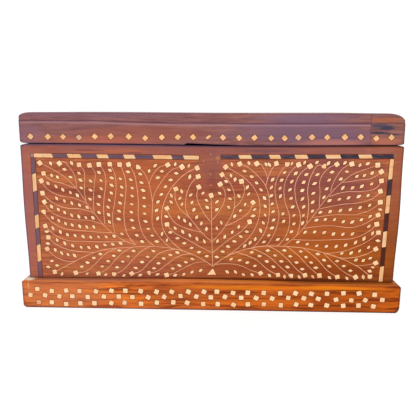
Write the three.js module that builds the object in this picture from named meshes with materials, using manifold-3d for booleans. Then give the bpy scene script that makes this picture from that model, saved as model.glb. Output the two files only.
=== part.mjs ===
// Bone inlay box: a hardwood box on a plinth, with a lid that lifts off, and a border of bone and
// ebony strips let into its front. Millimetres, +Z up, the front facing -Y, and the origin at the
// middle of the underside.

import * as THREE from 'three';
import { mergeVertices } from 'three/addons/utils/BufferGeometryUtils.js';
import Module from 'manifold-3d';

const wasm = await Module();
wasm.setup();

// Driving dimensions
const bodyWidth = 306;
const bodyDepth = 203;
const bodyHeight = 113.1;
const wallThickness = 13;
const floorThickness = 8;
const plinthHeight = 24.7;
const plinthLedge = 5.2;
const plinthRailWidth = 25.5;
const lidRailHeight = 17;
const lidRailWidth = 26.5;
const lidBoardThickness = 7.4;

// Fits: the hairline joint between two pieces, and the lip that keeps the lid in its place
const jointGap = 0.3;
const lipDepth = 3;
const lipClearance = 0.8;

// Worn and eased edges: how far each goes in, and how far it goes up or down
const lidLeftShoulder = { across: 9.3, down: 5.5 };
const lidRightShoulder = { across: 13.4, down: 7.5 };
const lidFrontShoulder = { across: 2.2, down: 2.2 };
const lidBackShoulder = { across: 2.2, down: 2.2 };
const lidSideLean = 0.5;
const endCorner = { across: 5, down: 2 };
const frontEdgeEase = 0.6;
const plinthTopEase = 1.8;
const plinthLeftFoot = { across: 3.2, down: 3.2 };
const plinthRightFoot = { across: 3.8, down: 6.5 };
const cornerEase = 0.8;
const arcSteps = 3;

// The rebate left in the lid's lower front edge where a hasp came through: a long wedge
const haspWidth = 45;
const haspHeight = 1.3;
const haspDepth = 9;
const haspMiddle = 1;

// Border strips of bone and ebony, in a groove along the top and down both sides of the front
const stripWidth = 3.1;
const stripDepth = 2.5;
const stripProud = 0.1;
const stripFit = 0.15;
const stripSlant = 1.3;
const rightStripSlant = 0.6;

// Where the border's middle line runs. It was set by eye, so it isn't quite square to the box. The
// top run is broken where the lock was, and a nail head fills the upper left corner.
const borderBelowTop = { leftEnd: 9.3, bareLeft: 10.3, bareRight: 9.7, rightEnd: 8.4 };
const borderFromLeft = { top: 10, foot: 9.4 };
const borderFromRight = { top: 9, foot: 10.3 };
const borderAboveFoot = 0.6;
const bareWidth = 17.8;
const bareMiddle = 0.4;
const nailRoom = 0.8;
const topRunPastRight = 0.8;

// Lengths of the strips in each run, from left to right and from top to bottom
const strips = {
  top_left: [['bone', 7.4], ['bone', 7.8], ['ebony', 12.1], ['bone', 4.5], ['bone', 6.4], ['ebony', 12.8],
    ['bone', 9], ['ebony', 12.4], ['bone', 9], ['ebony', 14.5], ['bone', 15], ['ebony', 9.2],
    ['bone', 12.3]],
  top_right: [['ebony', 14.2], ['bone', 10.1], ['ebony', 14.4], ['bone', 8.9], ['ebony', 11.6],
    ['bone', 10.1], ['ebony', 14.4], ['bone', 11.9], ['ebony', 14.2], ['bone', 10.5], ['ebony', 16.8]],
  left: [['ebony', 12.5], ['bone', 14.3], ['ebony', 19.8], ['bone', 11.2], ['ebony', 14.3],
    ['bone', 14.4], ['ebony', 13.8]],
  right: [['bone', 6.1], ['bone', 9.9], ['ebony', 13], ['bone', 8.4], ['bone', 6.1], ['ebony', 15],
    ['bone', 13.3], ['ebony', 16.4], ['bone', 13.2]],
};

// Heights and half sizes that follow from the driving dimensions
const bodyFoot = plinthHeight + jointGap;
const bodyTop = bodyFoot + bodyHeight;
const lidFoot = bodyTop + jointGap;
const lidRailTop = lidFoot + lidRailHeight;
const lidBoardFoot = lidRailTop + jointGap;
const lidTop = lidBoardFoot + lidBoardThickness;
const halfWidth = bodyWidth / 2;
const halfDepth = bodyDepth / 2;
const innerHalfWidth = halfWidth - wallThickness;
const innerHalfDepth = halfDepth - wallThickness;
const plinthHalfWidth = halfWidth + plinthLedge;
const plinthHalfDepth = halfDepth + plinthLedge;

// A cutter runs this far past the wood that it cuts
const overshoot = 10;

const wood = (color, roughness) => new THREE.MeshStandardMaterial({ color, roughness, metalness: 0 });
const materials = {
  lid: wood(0x9c6257, 0.45),
  endGrain: wood(0x8a5a55, 0.5),
  body: wood(0xb4683f, 0.45),
  plinth: wood(0xc8702c, 0.45),
  bone: new THREE.MeshStandardMaterial({ color: 0xf0c690, roughness: 0.4, metalness: 0 }),
  ebony: new THREE.MeshStandardMaterial({ color: 0x463c48, roughness: 0.4, metalness: 0 }),
};

// A closed three.js geometry as a solid that can be cut and joined
function solid(geometry) {
  geometry.deleteAttribute('normal');
  geometry.deleteAttribute('uv');
  const merged = mergeVertices(geometry, 1e-5);
  return new wasm.Manifold(new wasm.Mesh({
    numProp: 3,
    vertProperties: new Float32Array(merged.attributes.position.array),
    triVerts: new Uint32Array(merged.index.array),
  }));
}

// A finished solid as a named mesh of the model
function piece(name, body, material) {
  const { vertProperties, triVerts } = body.getMesh();
  const geometry = new THREE.BufferGeometry();
  geometry.setAttribute('position', new THREE.BufferAttribute(new Float32Array(vertProperties), 3));
  geometry.setIndex(new THREE.BufferAttribute(new Uint32Array(triVerts), 1));
  geometry.computeVertexNormals();
  const mesh = new THREE.Mesh(geometry, material);
  mesh.name = name;
  return mesh;
}

// A square-edged block between two corners
function block([x0, x1], [y0, y1], [z0, z1]) {
  const geometry = new THREE.BoxGeometry(x1 - x0, y1 - y0, z1 - z0);
  geometry.translate((x0 + x1) / 2, (y0 + y1) / 2, (z0 + z1) / 2);
  return solid(geometry);
}

// A four-sided outline whose corners are quarter ellipses, listed from the lower left corner round
// to the upper left one. lean is how much each side draws in at the top.
function easedOutline(left, right, foot, top, corners, lean = 0) {
  const [footLeft, footRight, topRight, topLeft] = corners;
  const shape = new THREE.Shape();
  const arc = (x, y, { across, down }, start) => {
    shape.absellipse(x, y, across, down, start, start + Math.PI / 2, false);
  };
  arc(left + footLeft.across, foot + footLeft.down, footLeft, Math.PI);
  arc(right - footRight.across, foot + footRight.down, footRight, Math.PI * 1.5);
  arc(right - lean - topRight.across, top - topRight.down, topRight, 0);
  arc(left + lean + topLeft.across, top - topLeft.down, topLeft, Math.PI / 2);
  return shape;
}

// The block that three outlines share: seen from the front, from the right and from above
function easedBlock(frontOutline, sideOutline, planOutline, { width, depth, top }) {
  const extrude = (shape, length) => new THREE.ExtrudeGeometry(shape, {
    depth: length, bevelEnabled: false, curveSegments: arcSteps,
  });
  const alongY = extrude(frontOutline, depth + 2 * overshoot);
  alongY.rotateX(Math.PI / 2);
  alongY.translate(0, depth / 2 + overshoot, 0);
  const alongX = extrude(sideOutline, width + 2 * overshoot);
  alongX.rotateX(Math.PI / 2);
  alongX.rotateZ(Math.PI / 2);
  alongX.translate(-width / 2 - overshoot, 0, 0);
  const alongZ = extrude(planOutline, top + 2 * overshoot);
  alongZ.translate(0, 0, -overshoot);
  return solid(alongY).intersect(solid(alongX)).intersect(solid(alongZ));
}

const even = (ease) => ({ across: ease, down: ease });
const four = (ease) => [even(ease), even(ease), even(ease), even(ease)];

// The lid, the body and the plinth as whole forms, before each is parted into its boards
const planOf = (width, depth) => easedOutline(-width, width, -depth, depth, four(cornerEase));

const lidForm = easedBlock(
  easedOutline(-halfWidth, halfWidth, lidFoot, lidTop,
    [endCorner, endCorner, lidRightShoulder, lidLeftShoulder], lidSideLean),
  easedOutline(-halfDepth, halfDepth, lidFoot, lidTop,
    [even(frontEdgeEase), even(frontEdgeEase), lidBackShoulder, lidFrontShoulder]),
  planOf(halfWidth, halfDepth),
  { width: bodyWidth, depth: bodyDepth, top: lidTop },
).add(block(
  [-innerHalfWidth + lipClearance, innerHalfWidth - lipClearance],
  [-innerHalfDepth + lipClearance, innerHalfDepth - lipClearance],
  [bodyTop - lipDepth, lidFoot + endCorner.down],
));

const bodyForm = easedBlock(
  easedOutline(-halfWidth, halfWidth, bodyFoot, bodyTop,
    [even(frontEdgeEase), even(frontEdgeEase), endCorner, endCorner]),
  easedOutline(-halfDepth, halfDepth, bodyFoot, bodyTop, four(frontEdgeEase)),
  planOf(halfWidth, halfDepth),
  { width: bodyWidth, depth: bodyDepth, top: bodyTop },
);

const plinthForm = easedBlock(
  easedOutline(-plinthHalfWidth, plinthHalfWidth, 0, plinthHeight,
    [plinthLeftFoot, plinthRightFoot, even(plinthTopEase), even(plinthTopEase)]),
  easedOutline(-plinthHalfDepth, plinthHalfDepth, 0, plinthHeight,
    [even(frontEdgeEase), even(frontEdgeEase), even(plinthTopEase), even(plinthTopEase)]),
  planOf(plinthHalfWidth, plinthHalfDepth),
  { width: 2 * plinthHalfWidth, depth: 2 * plinthHalfDepth, top: plinthHeight },
);

const box = new THREE.Group();

// The plinth: a frame of four rails, the front and back ones running right across
const plinthLevel = [-overshoot, plinthHeight + overshoot];
const plinthAcross = [-plinthHalfWidth - overshoot, plinthHalfWidth + overshoot];
const plinthInnerX = plinthHalfWidth - plinthRailWidth;
const plinthInnerY = plinthHalfDepth - plinthRailWidth;
const plinthCells = {
  plinth_front_rail: [plinthAcross, [-plinthHalfDepth - overshoot, -plinthInnerY]],
  plinth_back_rail: [plinthAcross, [plinthInnerY, plinthHalfDepth + overshoot]],
  plinth_left_rail: [[-plinthHalfWidth - overshoot, -plinthInnerX],
    [-plinthInnerY + jointGap, plinthInnerY - jointGap]],
  plinth_right_rail: [[plinthInnerX, plinthHalfWidth + overshoot],
    [-plinthInnerY + jointGap, plinthInnerY - jointGap]],
};
for (const [name, [across, deep]] of Object.entries(plinthCells)) {
  box.add(piece(name, plinthForm.intersect(block(across, deep, plinthLevel)), materials.plinth));
}

// The border strips: each run is a straight line of strips with slanted ends, from one place on the
// front to another, and the groove under it is cut from the same line
const leftTopX = -halfWidth + borderFromLeft.top;
const leftTopZ = bodyTop - borderBelowTop.leftEnd;
const rightTopX = halfWidth - borderFromRight.top;
const rightTopZ = bodyTop - borderBelowTop.rightEnd;
const borderFoot = bodyFoot + borderAboveFoot;
const runs = {
  top_left: {
    from: [leftTopX + nailRoom, leftTopZ],
    to: [bareMiddle - bareWidth / 2, bodyTop - borderBelowTop.bareLeft],
    slant: stripSlant,
  },
  top_right: {
    from: [bareMiddle + bareWidth / 2, bodyTop - borderBelowTop.bareRight],
    to: [rightTopX + topRunPastRight, rightTopZ],
    slant: stripSlant,
  },
  left: {
    from: [leftTopX, leftTopZ - nailRoom - stripWidth / 2],
    to: [-halfWidth + borderFromLeft.foot, borderFoot],
    slant: stripSlant,
  },
  right: {
    from: [rightTopX, rightTopZ - stripWidth / 2 - jointGap - 2 * stripFit],
    to: [halfWidth - borderFromRight.foot, borderFoot],
    slant: rightStripSlant,
  },
};

// A plate that stands in the front face, with its outline given across and up the face
function facePlate(points, front, back) {
  const shape = new THREE.Shape(points);
  const geometry = new THREE.ExtrudeGeometry(shape, { depth: back - front, bevelEnabled: false });
  geometry.rotateX(Math.PI / 2);
  geometry.translate(0, back, 0);
  return solid(geometry);
}

// The outline of a strip between two distances along its run, in anticlockwise order. Its left
// edge leads its right one by slantStart at one end and by slantEnd at the other.
function stripOutline(run, start, end, slantStart, slantEnd, width) {
  const from = new THREE.Vector2(...run.from);
  const along = new THREE.Vector2(...run.to).sub(from).normalize();
  const left = new THREE.Vector2(-along.y, along.x);
  const at = (distance, side) => from.clone().addScaledVector(along, distance).addScaledVector(left, side);
  const half = width / 2;
  return [
    at(start + slantStart / 2, -half),
    at(end + slantEnd / 2, -half),
    at(end - slantEnd / 2, half),
    at(start - slantStart / 2, half),
  ];
}

const stripBack = -halfDepth + stripDepth;
let frontBoard = bodyForm.intersect(block(
  [-halfWidth - overshoot, halfWidth + overshoot],
  [-halfDepth - overshoot, -innerHalfDepth],
  [0, bodyTop + overshoot],
));
for (const [runName, run] of Object.entries(runs)) {
  const length = new THREE.Vector2(...run.from).distanceTo(new THREE.Vector2(...run.to));
  const whole = strips[runName].reduce((sum, [, part]) => sum + part, 0);
  const groove = stripOutline(run, -stripFit, length + stripFit, 0, 0, stripWidth + 2 * stripFit);
  frontBoard = frontBoard.subtract(facePlate(groove, -halfDepth - overshoot, stripBack + stripFit));
  let start = 0;
  strips[runName].forEach(([kind, part], index) => {
    const end = start + part * length / whole;
    const slantStart = index === 0 ? 0 : run.slant;
    const slantEnd = index === strips[runName].length - 1 ? 0 : run.slant;
    const outline = stripOutline(
      run, start + stripFit / 2, end - stripFit / 2, slantStart, slantEnd, stripWidth,
    );
    const plate = facePlate(outline, -halfDepth - stripProud, stripBack);
    box.add(piece(`border_${runName}_${index + 1}_${kind}`, plate, materials[kind]));
    start = end;
  });
}
box.add(piece('body_front_board', frontBoard, materials.body));

// The body's other walls: the back runs right across, the ends fit between front and back
const bodyLevel = [0, bodyTop + overshoot];
const endDeep = [-innerHalfDepth + jointGap, innerHalfDepth - jointGap];
const bodyCells = {
  body_back_board: [[-halfWidth - overshoot, halfWidth + overshoot], [innerHalfDepth, halfDepth + overshoot]],
  body_left_board: [[-halfWidth - overshoot, -innerHalfWidth], endDeep],
  body_right_board: [[innerHalfWidth, halfWidth + overshoot], endDeep],
};
for (const [name, [across, deep]] of Object.entries(bodyCells)) {
  box.add(piece(name, bodyForm.intersect(block(across, deep, bodyLevel)), materials.body));
}

// The floor lies inside the walls, on the inner edges of the plinth's rails
box.add(piece('body_floor_board', block(
  [-innerHalfWidth + jointGap, innerHalfWidth - jointGap],
  [-innerHalfDepth + jointGap, innerHalfDepth - jointGap],
  [bodyFoot, bodyFoot + floorThickness],
), materials.body));

// The lid's frame: four rails that chase each other round, so that each end of a rail shows once.
// The front one stops short of the right corner, where the right one's end shows.
const railLevel = [bodyTop - lipDepth - overshoot, lidRailTop];
const railInnerX = halfWidth - lidRailWidth;
const railInnerY = halfDepth - lidRailWidth;
const haspWedge = facePlate([
  new THREE.Vector2(haspMiddle - haspWidth / 2, lidFoot - lipDepth),
  new THREE.Vector2(haspMiddle + haspWidth / 2, lidFoot - lipDepth),
  new THREE.Vector2(haspMiddle + haspWidth / 2, lidFoot),
  new THREE.Vector2(haspMiddle - haspWidth / 2, lidFoot + haspHeight),
], -halfDepth - overshoot, -halfDepth + haspDepth);
const railCells = {
  lid_front_rail: [[-halfWidth - overshoot, railInnerX - jointGap], [-halfDepth - overshoot, -railInnerY]],
  lid_right_rail: [[railInnerX, halfWidth + overshoot], [-halfDepth - overshoot, railInnerY - jointGap]],
  lid_back_rail: [[-railInnerX + jointGap, halfWidth + overshoot], [railInnerY, halfDepth + overshoot]],
  lid_left_rail: [[-halfWidth - overshoot, -railInnerX], [-railInnerY + jointGap, halfDepth + overshoot]],
};
for (const [name, [across, deep]] of Object.entries(railCells)) {
  const rail = lidForm.intersect(block(across, deep, railLevel));
  const cut = name === 'lid_front_rail' ? rail.subtract(haspWedge) : rail;
  box.add(piece(name, cut, name === 'lid_right_rail' ? materials.endGrain : materials.lid));
}

// The lid's top: one long board, and a board across its right end whose end grain shows in front
const boardLevel = [lidBoardFoot, lidTop + overshoot];
const lidDeep = [-halfDepth - overshoot, halfDepth + overshoot];
box.add(piece('lid_top_board', lidForm.intersect(
  block([-halfWidth - overshoot, railInnerX - jointGap], lidDeep, boardLevel),
), materials.lid));
box.add(piece('lid_top_end_board', lidForm.intersect(
  block([railInnerX, halfWidth + overshoot], lidDeep, boardLevel),
), materials.endGrain));

export default box;
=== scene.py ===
"""Bone inlay box: a hardwood box on a plinth with a lift-off lid, its front inlaid with a fern of bone
slips inside a border of bone and ebony. Metres, +Z up, the front facing -Y."""

import math

import bpy
import numpy as np
from mathutils import Matrix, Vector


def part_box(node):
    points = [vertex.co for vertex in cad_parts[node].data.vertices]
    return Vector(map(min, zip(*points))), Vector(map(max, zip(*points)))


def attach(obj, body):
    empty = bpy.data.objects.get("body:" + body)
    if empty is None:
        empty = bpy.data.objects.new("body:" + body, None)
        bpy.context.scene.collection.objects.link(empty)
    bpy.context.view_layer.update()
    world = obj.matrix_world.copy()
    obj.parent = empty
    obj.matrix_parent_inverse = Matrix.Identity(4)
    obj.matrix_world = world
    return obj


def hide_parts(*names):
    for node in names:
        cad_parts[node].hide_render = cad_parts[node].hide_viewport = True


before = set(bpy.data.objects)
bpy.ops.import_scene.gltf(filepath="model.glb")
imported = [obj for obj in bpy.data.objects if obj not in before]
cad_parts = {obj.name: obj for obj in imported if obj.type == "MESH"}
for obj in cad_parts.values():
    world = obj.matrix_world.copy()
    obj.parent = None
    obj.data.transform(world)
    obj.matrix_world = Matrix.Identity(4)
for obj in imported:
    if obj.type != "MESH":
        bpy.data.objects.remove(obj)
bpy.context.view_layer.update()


# The photographer's stand: a camera a little above the lid, close enough for the lines to lean.
# The lens is given by how many pixels of the 416 px picture one unit of slope covers.
mm = 0.001
picture_width = 416
sensor_width = 36.0
pixels_per_slope = 473.5
eye = np.array([11.3, -479.9, 164.3]) * mm
look_down = 0.202
look_left = 0.033
roll = 0.003


def sight_axes():
    """Right, up and forward of the camera, from how far it looks down, turns left and rolls."""
    right = np.array([math.cos(look_left), math.sin(look_left), 0])
    level = np.array([-math.sin(look_left), math.cos(look_left), 0])
    forward = level * math.cos(look_down) - np.array([0, 0, math.sin(look_down)])
    up = np.cross(right, forward)
    turned_right = right * math.cos(roll) + up * math.sin(roll)
    turned_up = up * math.cos(roll) - right * math.sin(roll)
    return turned_right, turned_up, forward


def standing(right, up, back, place):
    """The matrix of a thing at a place whose own axes point right, up and back."""
    rows = np.array([right, up, back, place], float).T
    return Matrix([*rows.tolist(), (0, 0, 0, 1)])


camera = bpy.data.objects.new("camera", bpy.data.cameras.new("camera"))
bpy.context.scene.collection.objects.link(camera)
camera.data.sensor_width = sensor_width
camera.data.lens = pixels_per_slope * sensor_width / picture_width
camera.data.clip_start = 0.01
camera.data.clip_end = 50
cam_right, cam_up, cam_forward = sight_axes()
camera.matrix_world = standing(cam_right, cam_up, -cam_forward, eye)
bpy.context.scene.camera = camera


# The studio: a white floor and white surroundings, a broad soft light in front and above, and a
# weaker one from the left.
floor_half = 3.0
floor_white = 0.35
floor_glow = 0.72
key_power = 4.0
fill_power = 1.5
sky_strength = 1.02
box_middle = (0, 0, 0.08)
corner_signs = [(-1, -1), (1, -1), (1, 1), (-1, 1)]


def fill(tree, target, inputs):
    """Links each input of a node that is given a socket, and sets the others."""
    for key, value in inputs.items():
        if isinstance(value, bpy.types.NodeSocket):
            tree.links.new(value, target.inputs[key])
        else:
            target.inputs[key].default_value = value


def fresh_material(name, inputs=None):
    """A new material with only a Principled shader and its output, and the shader's inputs."""
    made = bpy.data.materials.new(name)
    made.use_nodes = True
    shader = made.node_tree.nodes["Principled BSDF"]
    fill(made.node_tree, shader, inputs or {})
    return made, made.node_tree, shader


world = bpy.data.worlds.new("white_room")
bpy.context.scene.world = world
world.use_nodes = True
world.node_tree.nodes["Background"].inputs["Color"].default_value = (1, 1, 1, 1)
world.node_tree.nodes["Background"].inputs["Strength"].default_value = sky_strength
bpy.context.scene.view_settings.view_transform = "Standard"

floor_mesh = bpy.data.meshes.new("floor")
floor_mesh.from_pydata([(x, y, 0) for x, y in corner_signs], [], [(0, 1, 2, 3)])
floor_mesh.transform(Matrix.Scale(floor_half, 4))
floor = bpy.data.objects.new("floor", floor_mesh)
bpy.context.scene.collection.objects.link(floor)
paper, *_ = fresh_material("white_paper", {
    "Base Color": (floor_white, floor_white, floor_white, 1), "Roughness": 0.9, "Specular IOR Level": 0.1,
    "Emission Color": (1, 1, 1, 1), "Emission Strength": floor_glow})
floor_mesh.materials.append(paper)


def soft_light(name, place, power, size):
    """A square area light that faces the middle of the box."""
    light = bpy.data.objects.new(name, bpy.data.lights.new(name, "AREA"))
    light.data.energy = power
    light.data.size = size
    away = np.array(place) - box_middle
    away = away / np.linalg.norm(away)
    side = np.cross([0, 0, 1], away)
    side = side / np.linalg.norm(side)
    light.matrix_world = standing(side, np.cross(away, side), away, place)
    bpy.context.scene.collection.objects.link(light)


soft_light("key_light", (0.25, -1.1, 1.2), key_power, 1.2)
soft_light("fill_light", (-1.1, -0.7, 0.7), fill_power, 1.0)


# The plinth: four rails of orange-brown hardwood round the foot, a ledge wider than the body, their
# edges worn round and one small chip knocked out of the front edge. Oiled and rubbed by hand.
arris = 0.22 * mm
finest = 0.06 * mm
growth = 1.3
plinth_low, plinth_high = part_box("plinth_front_rail")
plinth_half_width = plinth_high.x
plinth_face = plinth_low.y
plinth_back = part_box("plinth_back_rail")[1].y
plinth_top = plinth_high.z
body_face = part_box("body_front_board")[0].y
plinth_chip = {"x": 102.5 * mm, "wide": 1.9 * mm, "back": 1.6 * mm, "down": 1.8 * mm, "deep": 1.0 * mm}
edge_reach = 0.6 * mm
# How far the painted shade along a form's outline, as seen from the front, reaches inward and back from the
# front face
outline_shade_reach = 1.1 * mm
outline_shade_depth = 2.5 * mm
slip_room = 0.1 * mm
seam_rise = {"by": 0.8 * mm, "x": -20 * mm, "half": 130 * mm}
plinth_corners = [(4 * mm, 3.6 * mm), (3.8 * mm, 6.5 * mm), (5 * mm, 3.6 * mm), (5 * mm, 2.8 * mm)]
upright_ease = (0.8 * mm, 0.8 * mm)
upwards = np.array([0, 0, 10 * mm])
sag = 0.0009
sag_depth = 30 * mm
lid_sag = {"by": 0.22 * mm, "from": 150 * mm, "over": 12 * mm}


def ruled(low, high, step):
    """Places from low to high: very close together at both ends, each gap growing by a constant
    ratio, and at most one step apart in the middle."""
    steps = math.ceil(math.log(step / finest) / math.log(growth))
    ends = np.concatenate([[0], np.cumsum(finest * growth ** np.arange(steps))])
    ends = ends[ends < (high - low) / 2 - finest]
    middle = np.linspace(ends[-1], high - low - ends[-1],
                         max(2, math.ceil((high - low - 2 * ends[-1]) / step) + 1))
    return low + np.unique(np.concatenate([ends, middle, high - low - ends]).round(8))


def quarter_round(points, axes, corner, across, down, towards):
    """Pulls what stands outside a quarter ellipse on to it. The ellipse has half axes across and
    down, touches both faces that meet at the corner, and towards says which way the corner points."""
    first, second = axes
    centre = corner - np.array(towards) * (across, down)
    offset = (points[:, [first, second]] - centre) / (across, down)
    beyond = (offset * towards > 0).all(1)
    distance = np.linalg.norm(offset, axis=1)
    pull = np.where(beyond & (distance > 1), 1 / np.maximum(distance, 1e-9), 1)
    points[:, [first, second]] = centre + offset * pull[:, None] * (across, down)
    return points


def eased(points, low, high, front=None, side=None, plan=None):
    """Rounds the edges of a whole form. front holds the ease of the edges seen from the front, in the
    order lower left, lower right, upper right, upper left, side those seen from the right, and plan
    one ease for the four upright edges. An ease is (across, down)."""
    sets = [((0, 2), front), ((1, 2), side), ((0, 1), [plan] * 4 if plan else None)]
    for axes, eases in sets:
        for towards, ease in zip(corner_signs, eases or []):
            corner = np.array([(low, high)[s > 0][axis] for s, axis in zip(towards, axes)])
            points = quarter_round(points, axes, corner, *ease, towards)
    return points


def bell(values, centre, half):
    """1 at the centre, falling as a cosine to 0 at half to either side of it."""
    return 0.5 + 0.5 * np.cos(np.pi * np.clip((values - centre) / half, -1, 1))


def outline_shade(points, low, high, eases):
    """1 on the outline of a form as seen from the front, its rounded corners too, fading inward, and
    only just behind its front face: the share of shade painted along the outline."""
    flat, flat_low, flat_high = points[:, [0, 2]], low[[0, 2]], high[[0, 2]]
    inside = np.minimum(flat - flat_low, flat_high - flat).min(1)
    for towards, ease in zip(np.array(corner_signs), np.array(eases)):
        corner = np.where(towards > 0, flat_high, flat_low)
        offset = (flat - corner + towards * ease) / ease
        within = (1 - np.linalg.norm(offset, axis=1)) * ease.min()
        inside = np.where((offset * towards > 0).all(1), within, inside)
    behind = (points[:, 1] - low[1]) / outline_shade_depth
    return np.exp(-(np.maximum(inside, 0) / outline_shade_reach) ** 2) * np.exp(-behind ** 2)


def settled(points):
    """What a century does to flat boards: the sides, the back and the top draw in by a tenth of a
    millimetre or so, in slow waves that are sums of sines. The front stays true."""
    x, y, z = points.T
    wave = (np.sin(x * 31 + z * 17) + np.sin(y * 43 - z * 29 + 1.3) + np.sin((x + y) * 19 + 0.7)) / 6 + 0.5
    ripple = (np.sin(x * 57 - y * 23 + 2.1) + np.sin(y * 37 + z * 51)) / 4 + 0.5
    back = np.clip(y / -body_face, 0, 1)
    lid = np.clip((z - lid_sag["from"]) / lid_sag["over"], 0, 1)
    return np.stack([
        x * (1 - sag * wave * np.clip((y - plinth_face) / sag_depth, 0, 1)),
        y * (1 - sag * ripple * back),
        z - lid_sag["by"] * wave * lid,
    ], 1)


def show(name, points, faces, material, slot, replaces=(), attributes=None):
    """Puts a finished mesh in the scene as a piece that rides on the box."""
    mesh = bpy.data.meshes.new(name)
    mesh.from_pydata(settled(points).tolist(), [], faces if isinstance(faces, list) else faces.tolist())
    mesh.shade_smooth()
    mesh.materials.append(material)
    for key, values in (attributes or {}).items():
        mesh.attributes.new(key, "FLOAT", "POINT").data.foreach_set("value", values.astype(np.float32))
    piece = bpy.data.objects.new(name, mesh)
    bpy.context.scene.collection.objects.link(piece)
    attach(piece, "root")
    if replaces:
        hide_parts(*replaces)
    return piece


def board_grid(low, high, step):
    """The six faces of a block as one closed grid: the outer points of a lattice ruled along each
    edge, and a quad for each lattice square on the outside. Also gives how near each point is to an
    edge of the board, 1 on the edge and fading inward, sooner at the upright edges."""
    rules = [ruled(a, b, step) for a, b in zip(low, high)]
    outside = np.zeros([len(rule) for rule in rules], bool)
    outside[[0, -1]] = outside[:, [0, -1]] = outside[:, :, [0, -1]] = True
    index = np.full(outside.shape, -1)
    index[outside] = np.arange(outside.sum())
    places = np.nonzero(outside)
    points = np.stack([rule[place] for rule, place in zip(rules, places)], 1)
    quads = []
    for axis in range(3):
        for end in (0, -1):
            face = np.take(index, end, axis=axis)
            quad = np.stack([face[:-1, :-1], face[1:, :-1], face[1:, 1:], face[:-1, 1:]], -1).reshape(-1, 4)
            quads.append(quad if (end == -1) == (axis != 1) else quad[:, ::-1])
    inward = np.sort(np.minimum(points - low, high - points) * (3, 1, 1), axis=1)[:, 1]
    return points, np.concatenate(quads), np.exp(-(inward / edge_reach) ** 2)


def rounded(points, low, high, radius):
    """Rounds every edge of a block with one small radius: each point goes to the surface of a ball of
    that radius about the nearest point of the block drawn in by it."""
    core = np.clip(points, low + radius, high - radius)
    away = points - core
    return core + away * radius / np.linalg.norm(away, axis=1)[:, None]


def board(node_name, form, material, slot, step=4 * mm, extra=None, grown=(0, 0, 0)):
    """One worn board in the place of a CAD node: a block with a fine arris, cut to the worn outline
    of the form that it belongs to. grown carries its low sides on, to close a glued joint."""
    low, high = (np.array(corner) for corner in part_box(node_name))
    low = low - grown
    points, quads, edge = board_grid(low, high, step)
    points, outline = form(rounded(points, low, high, arris))
    if extra:
        points = extra(points)
    return show("worn_" + node_name, points, quads, material, slot, [node_name],
                {"edge": edge, "outline_shade": outline})


def plinth_form(points):
    """The plinth's outline: the foot's corners and the ends of the ledge worn round, the right foot
    more so, and the front edge a little. The ledge has risen under the middle of the body. Room is
    left for the slips' thickness."""
    low = np.array([-plinth_half_width, plinth_face, 0])
    high = np.array([plinth_half_width, plinth_back, plinth_top])
    top, fine = (1.8 * mm, 1.8 * mm), (0.2 * mm, 0.2 * mm)
    points = eased(points, low, high, plinth_corners, [fine, fine, top, top], upright_ease)
    outline = outline_shade(points, low, high + upwards, plinth_corners)
    rise = seam_rise["by"] * bell(points[:, 0], seam_rise["x"], seam_rise["half"])
    points[:, 2] += rise * np.clip(points[:, 2] / plinth_top, 0, 1)
    room = np.array([slip_room, slip_room, 0])
    return np.clip(points, low + room, high + (-slip_room, 0, upwards[2])), outline


def chipped_edge(points):
    """The chip: the top front edge sinks under a bell curve along x that fades away from the edge."""
    x, y, z = points.T
    along = np.exp(-((x - plinth_chip["x"]) / plinth_chip["wide"]) ** 2)
    behind = np.exp(-((y - plinth_face) / plinth_chip["back"]) ** 2)
    below = np.exp(-((z - plinth_top) / plinth_chip["down"]) ** 2)
    sunk = along * behind * below * plinth_chip["deep"]
    return np.stack([x, y + sunk, z - sunk], 1)


def shade(red, green, blue):
    """A screen colour of 0 to 255 as the linear colour that a shader takes."""
    channel = np.array([red, green, blue]) / 255
    linear = np.where(channel <= 0.04045, channel / 12.92, ((channel + 0.055) / 1.055) ** 2.4)
    return (*linear.tolist(), 1.0)


def node(tree, kind, inputs=None, **settings):
    """Adds a node to the tree, with its settings and inputs."""
    made = tree.nodes.new("ShaderNode" + kind)
    for key, value in settings.items():
        setattr(made, key, value)
    fill(tree, made, inputs or {})
    return made


def between(tree, value, start, end, low=0.0, high=1.0, steps="LINEAR"):
    """Goes from low to high as the value goes from start to end, and holds beyond them."""
    return node(tree, "MapRange", {
        "Value": value, "From Min": start, "From Max": end, "To Min": low, "To Max": high,
    }, interpolation_type=steps).outputs[0]


def times(tree, first, second):
    """The product of two values."""
    return node(tree, "Math", {0: first, 1: second}, operation="MULTIPLY").outputs[0]


def cloud(tree, place, scale, detail, roughness=0.5):
    """Noise from about 0.3 to 0.7."""
    return node(tree, "TexNoise", {
        "Vector": place, "Scale": scale, "Detail": detail, "Roughness": roughness}).outputs[0]


def squeezed(tree, place, factors):
    """A place with each coordinate multiplied by its own factor."""
    return node(tree, "VectorMath", {0: place, 1: factors}, operation="MULTIPLY").outputs[0]


def grained(tree, place, along, by):
    """A place squeezed across the grain, so that what is drawn on it runs along the grain."""
    return squeezed(tree, place, tuple(1 if axis == along else by for axis in "XYZ"))


def blended(tree, share, below, above, how="MIX"):
    """Two colours mixed by a share."""
    return node(tree, "Mix", {0: share, 6: below, 7: above}, data_type="RGBA", blend_type=how).outputs[2]


def dimmed(tree, colour, value):
    """A colour times a value."""
    grey = node(tree, "CombineColor", {0: value, 1: value, 2: value}).outputs[0]
    return blended(tree, 1.0, colour, grey, "MULTIPLY")


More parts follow.
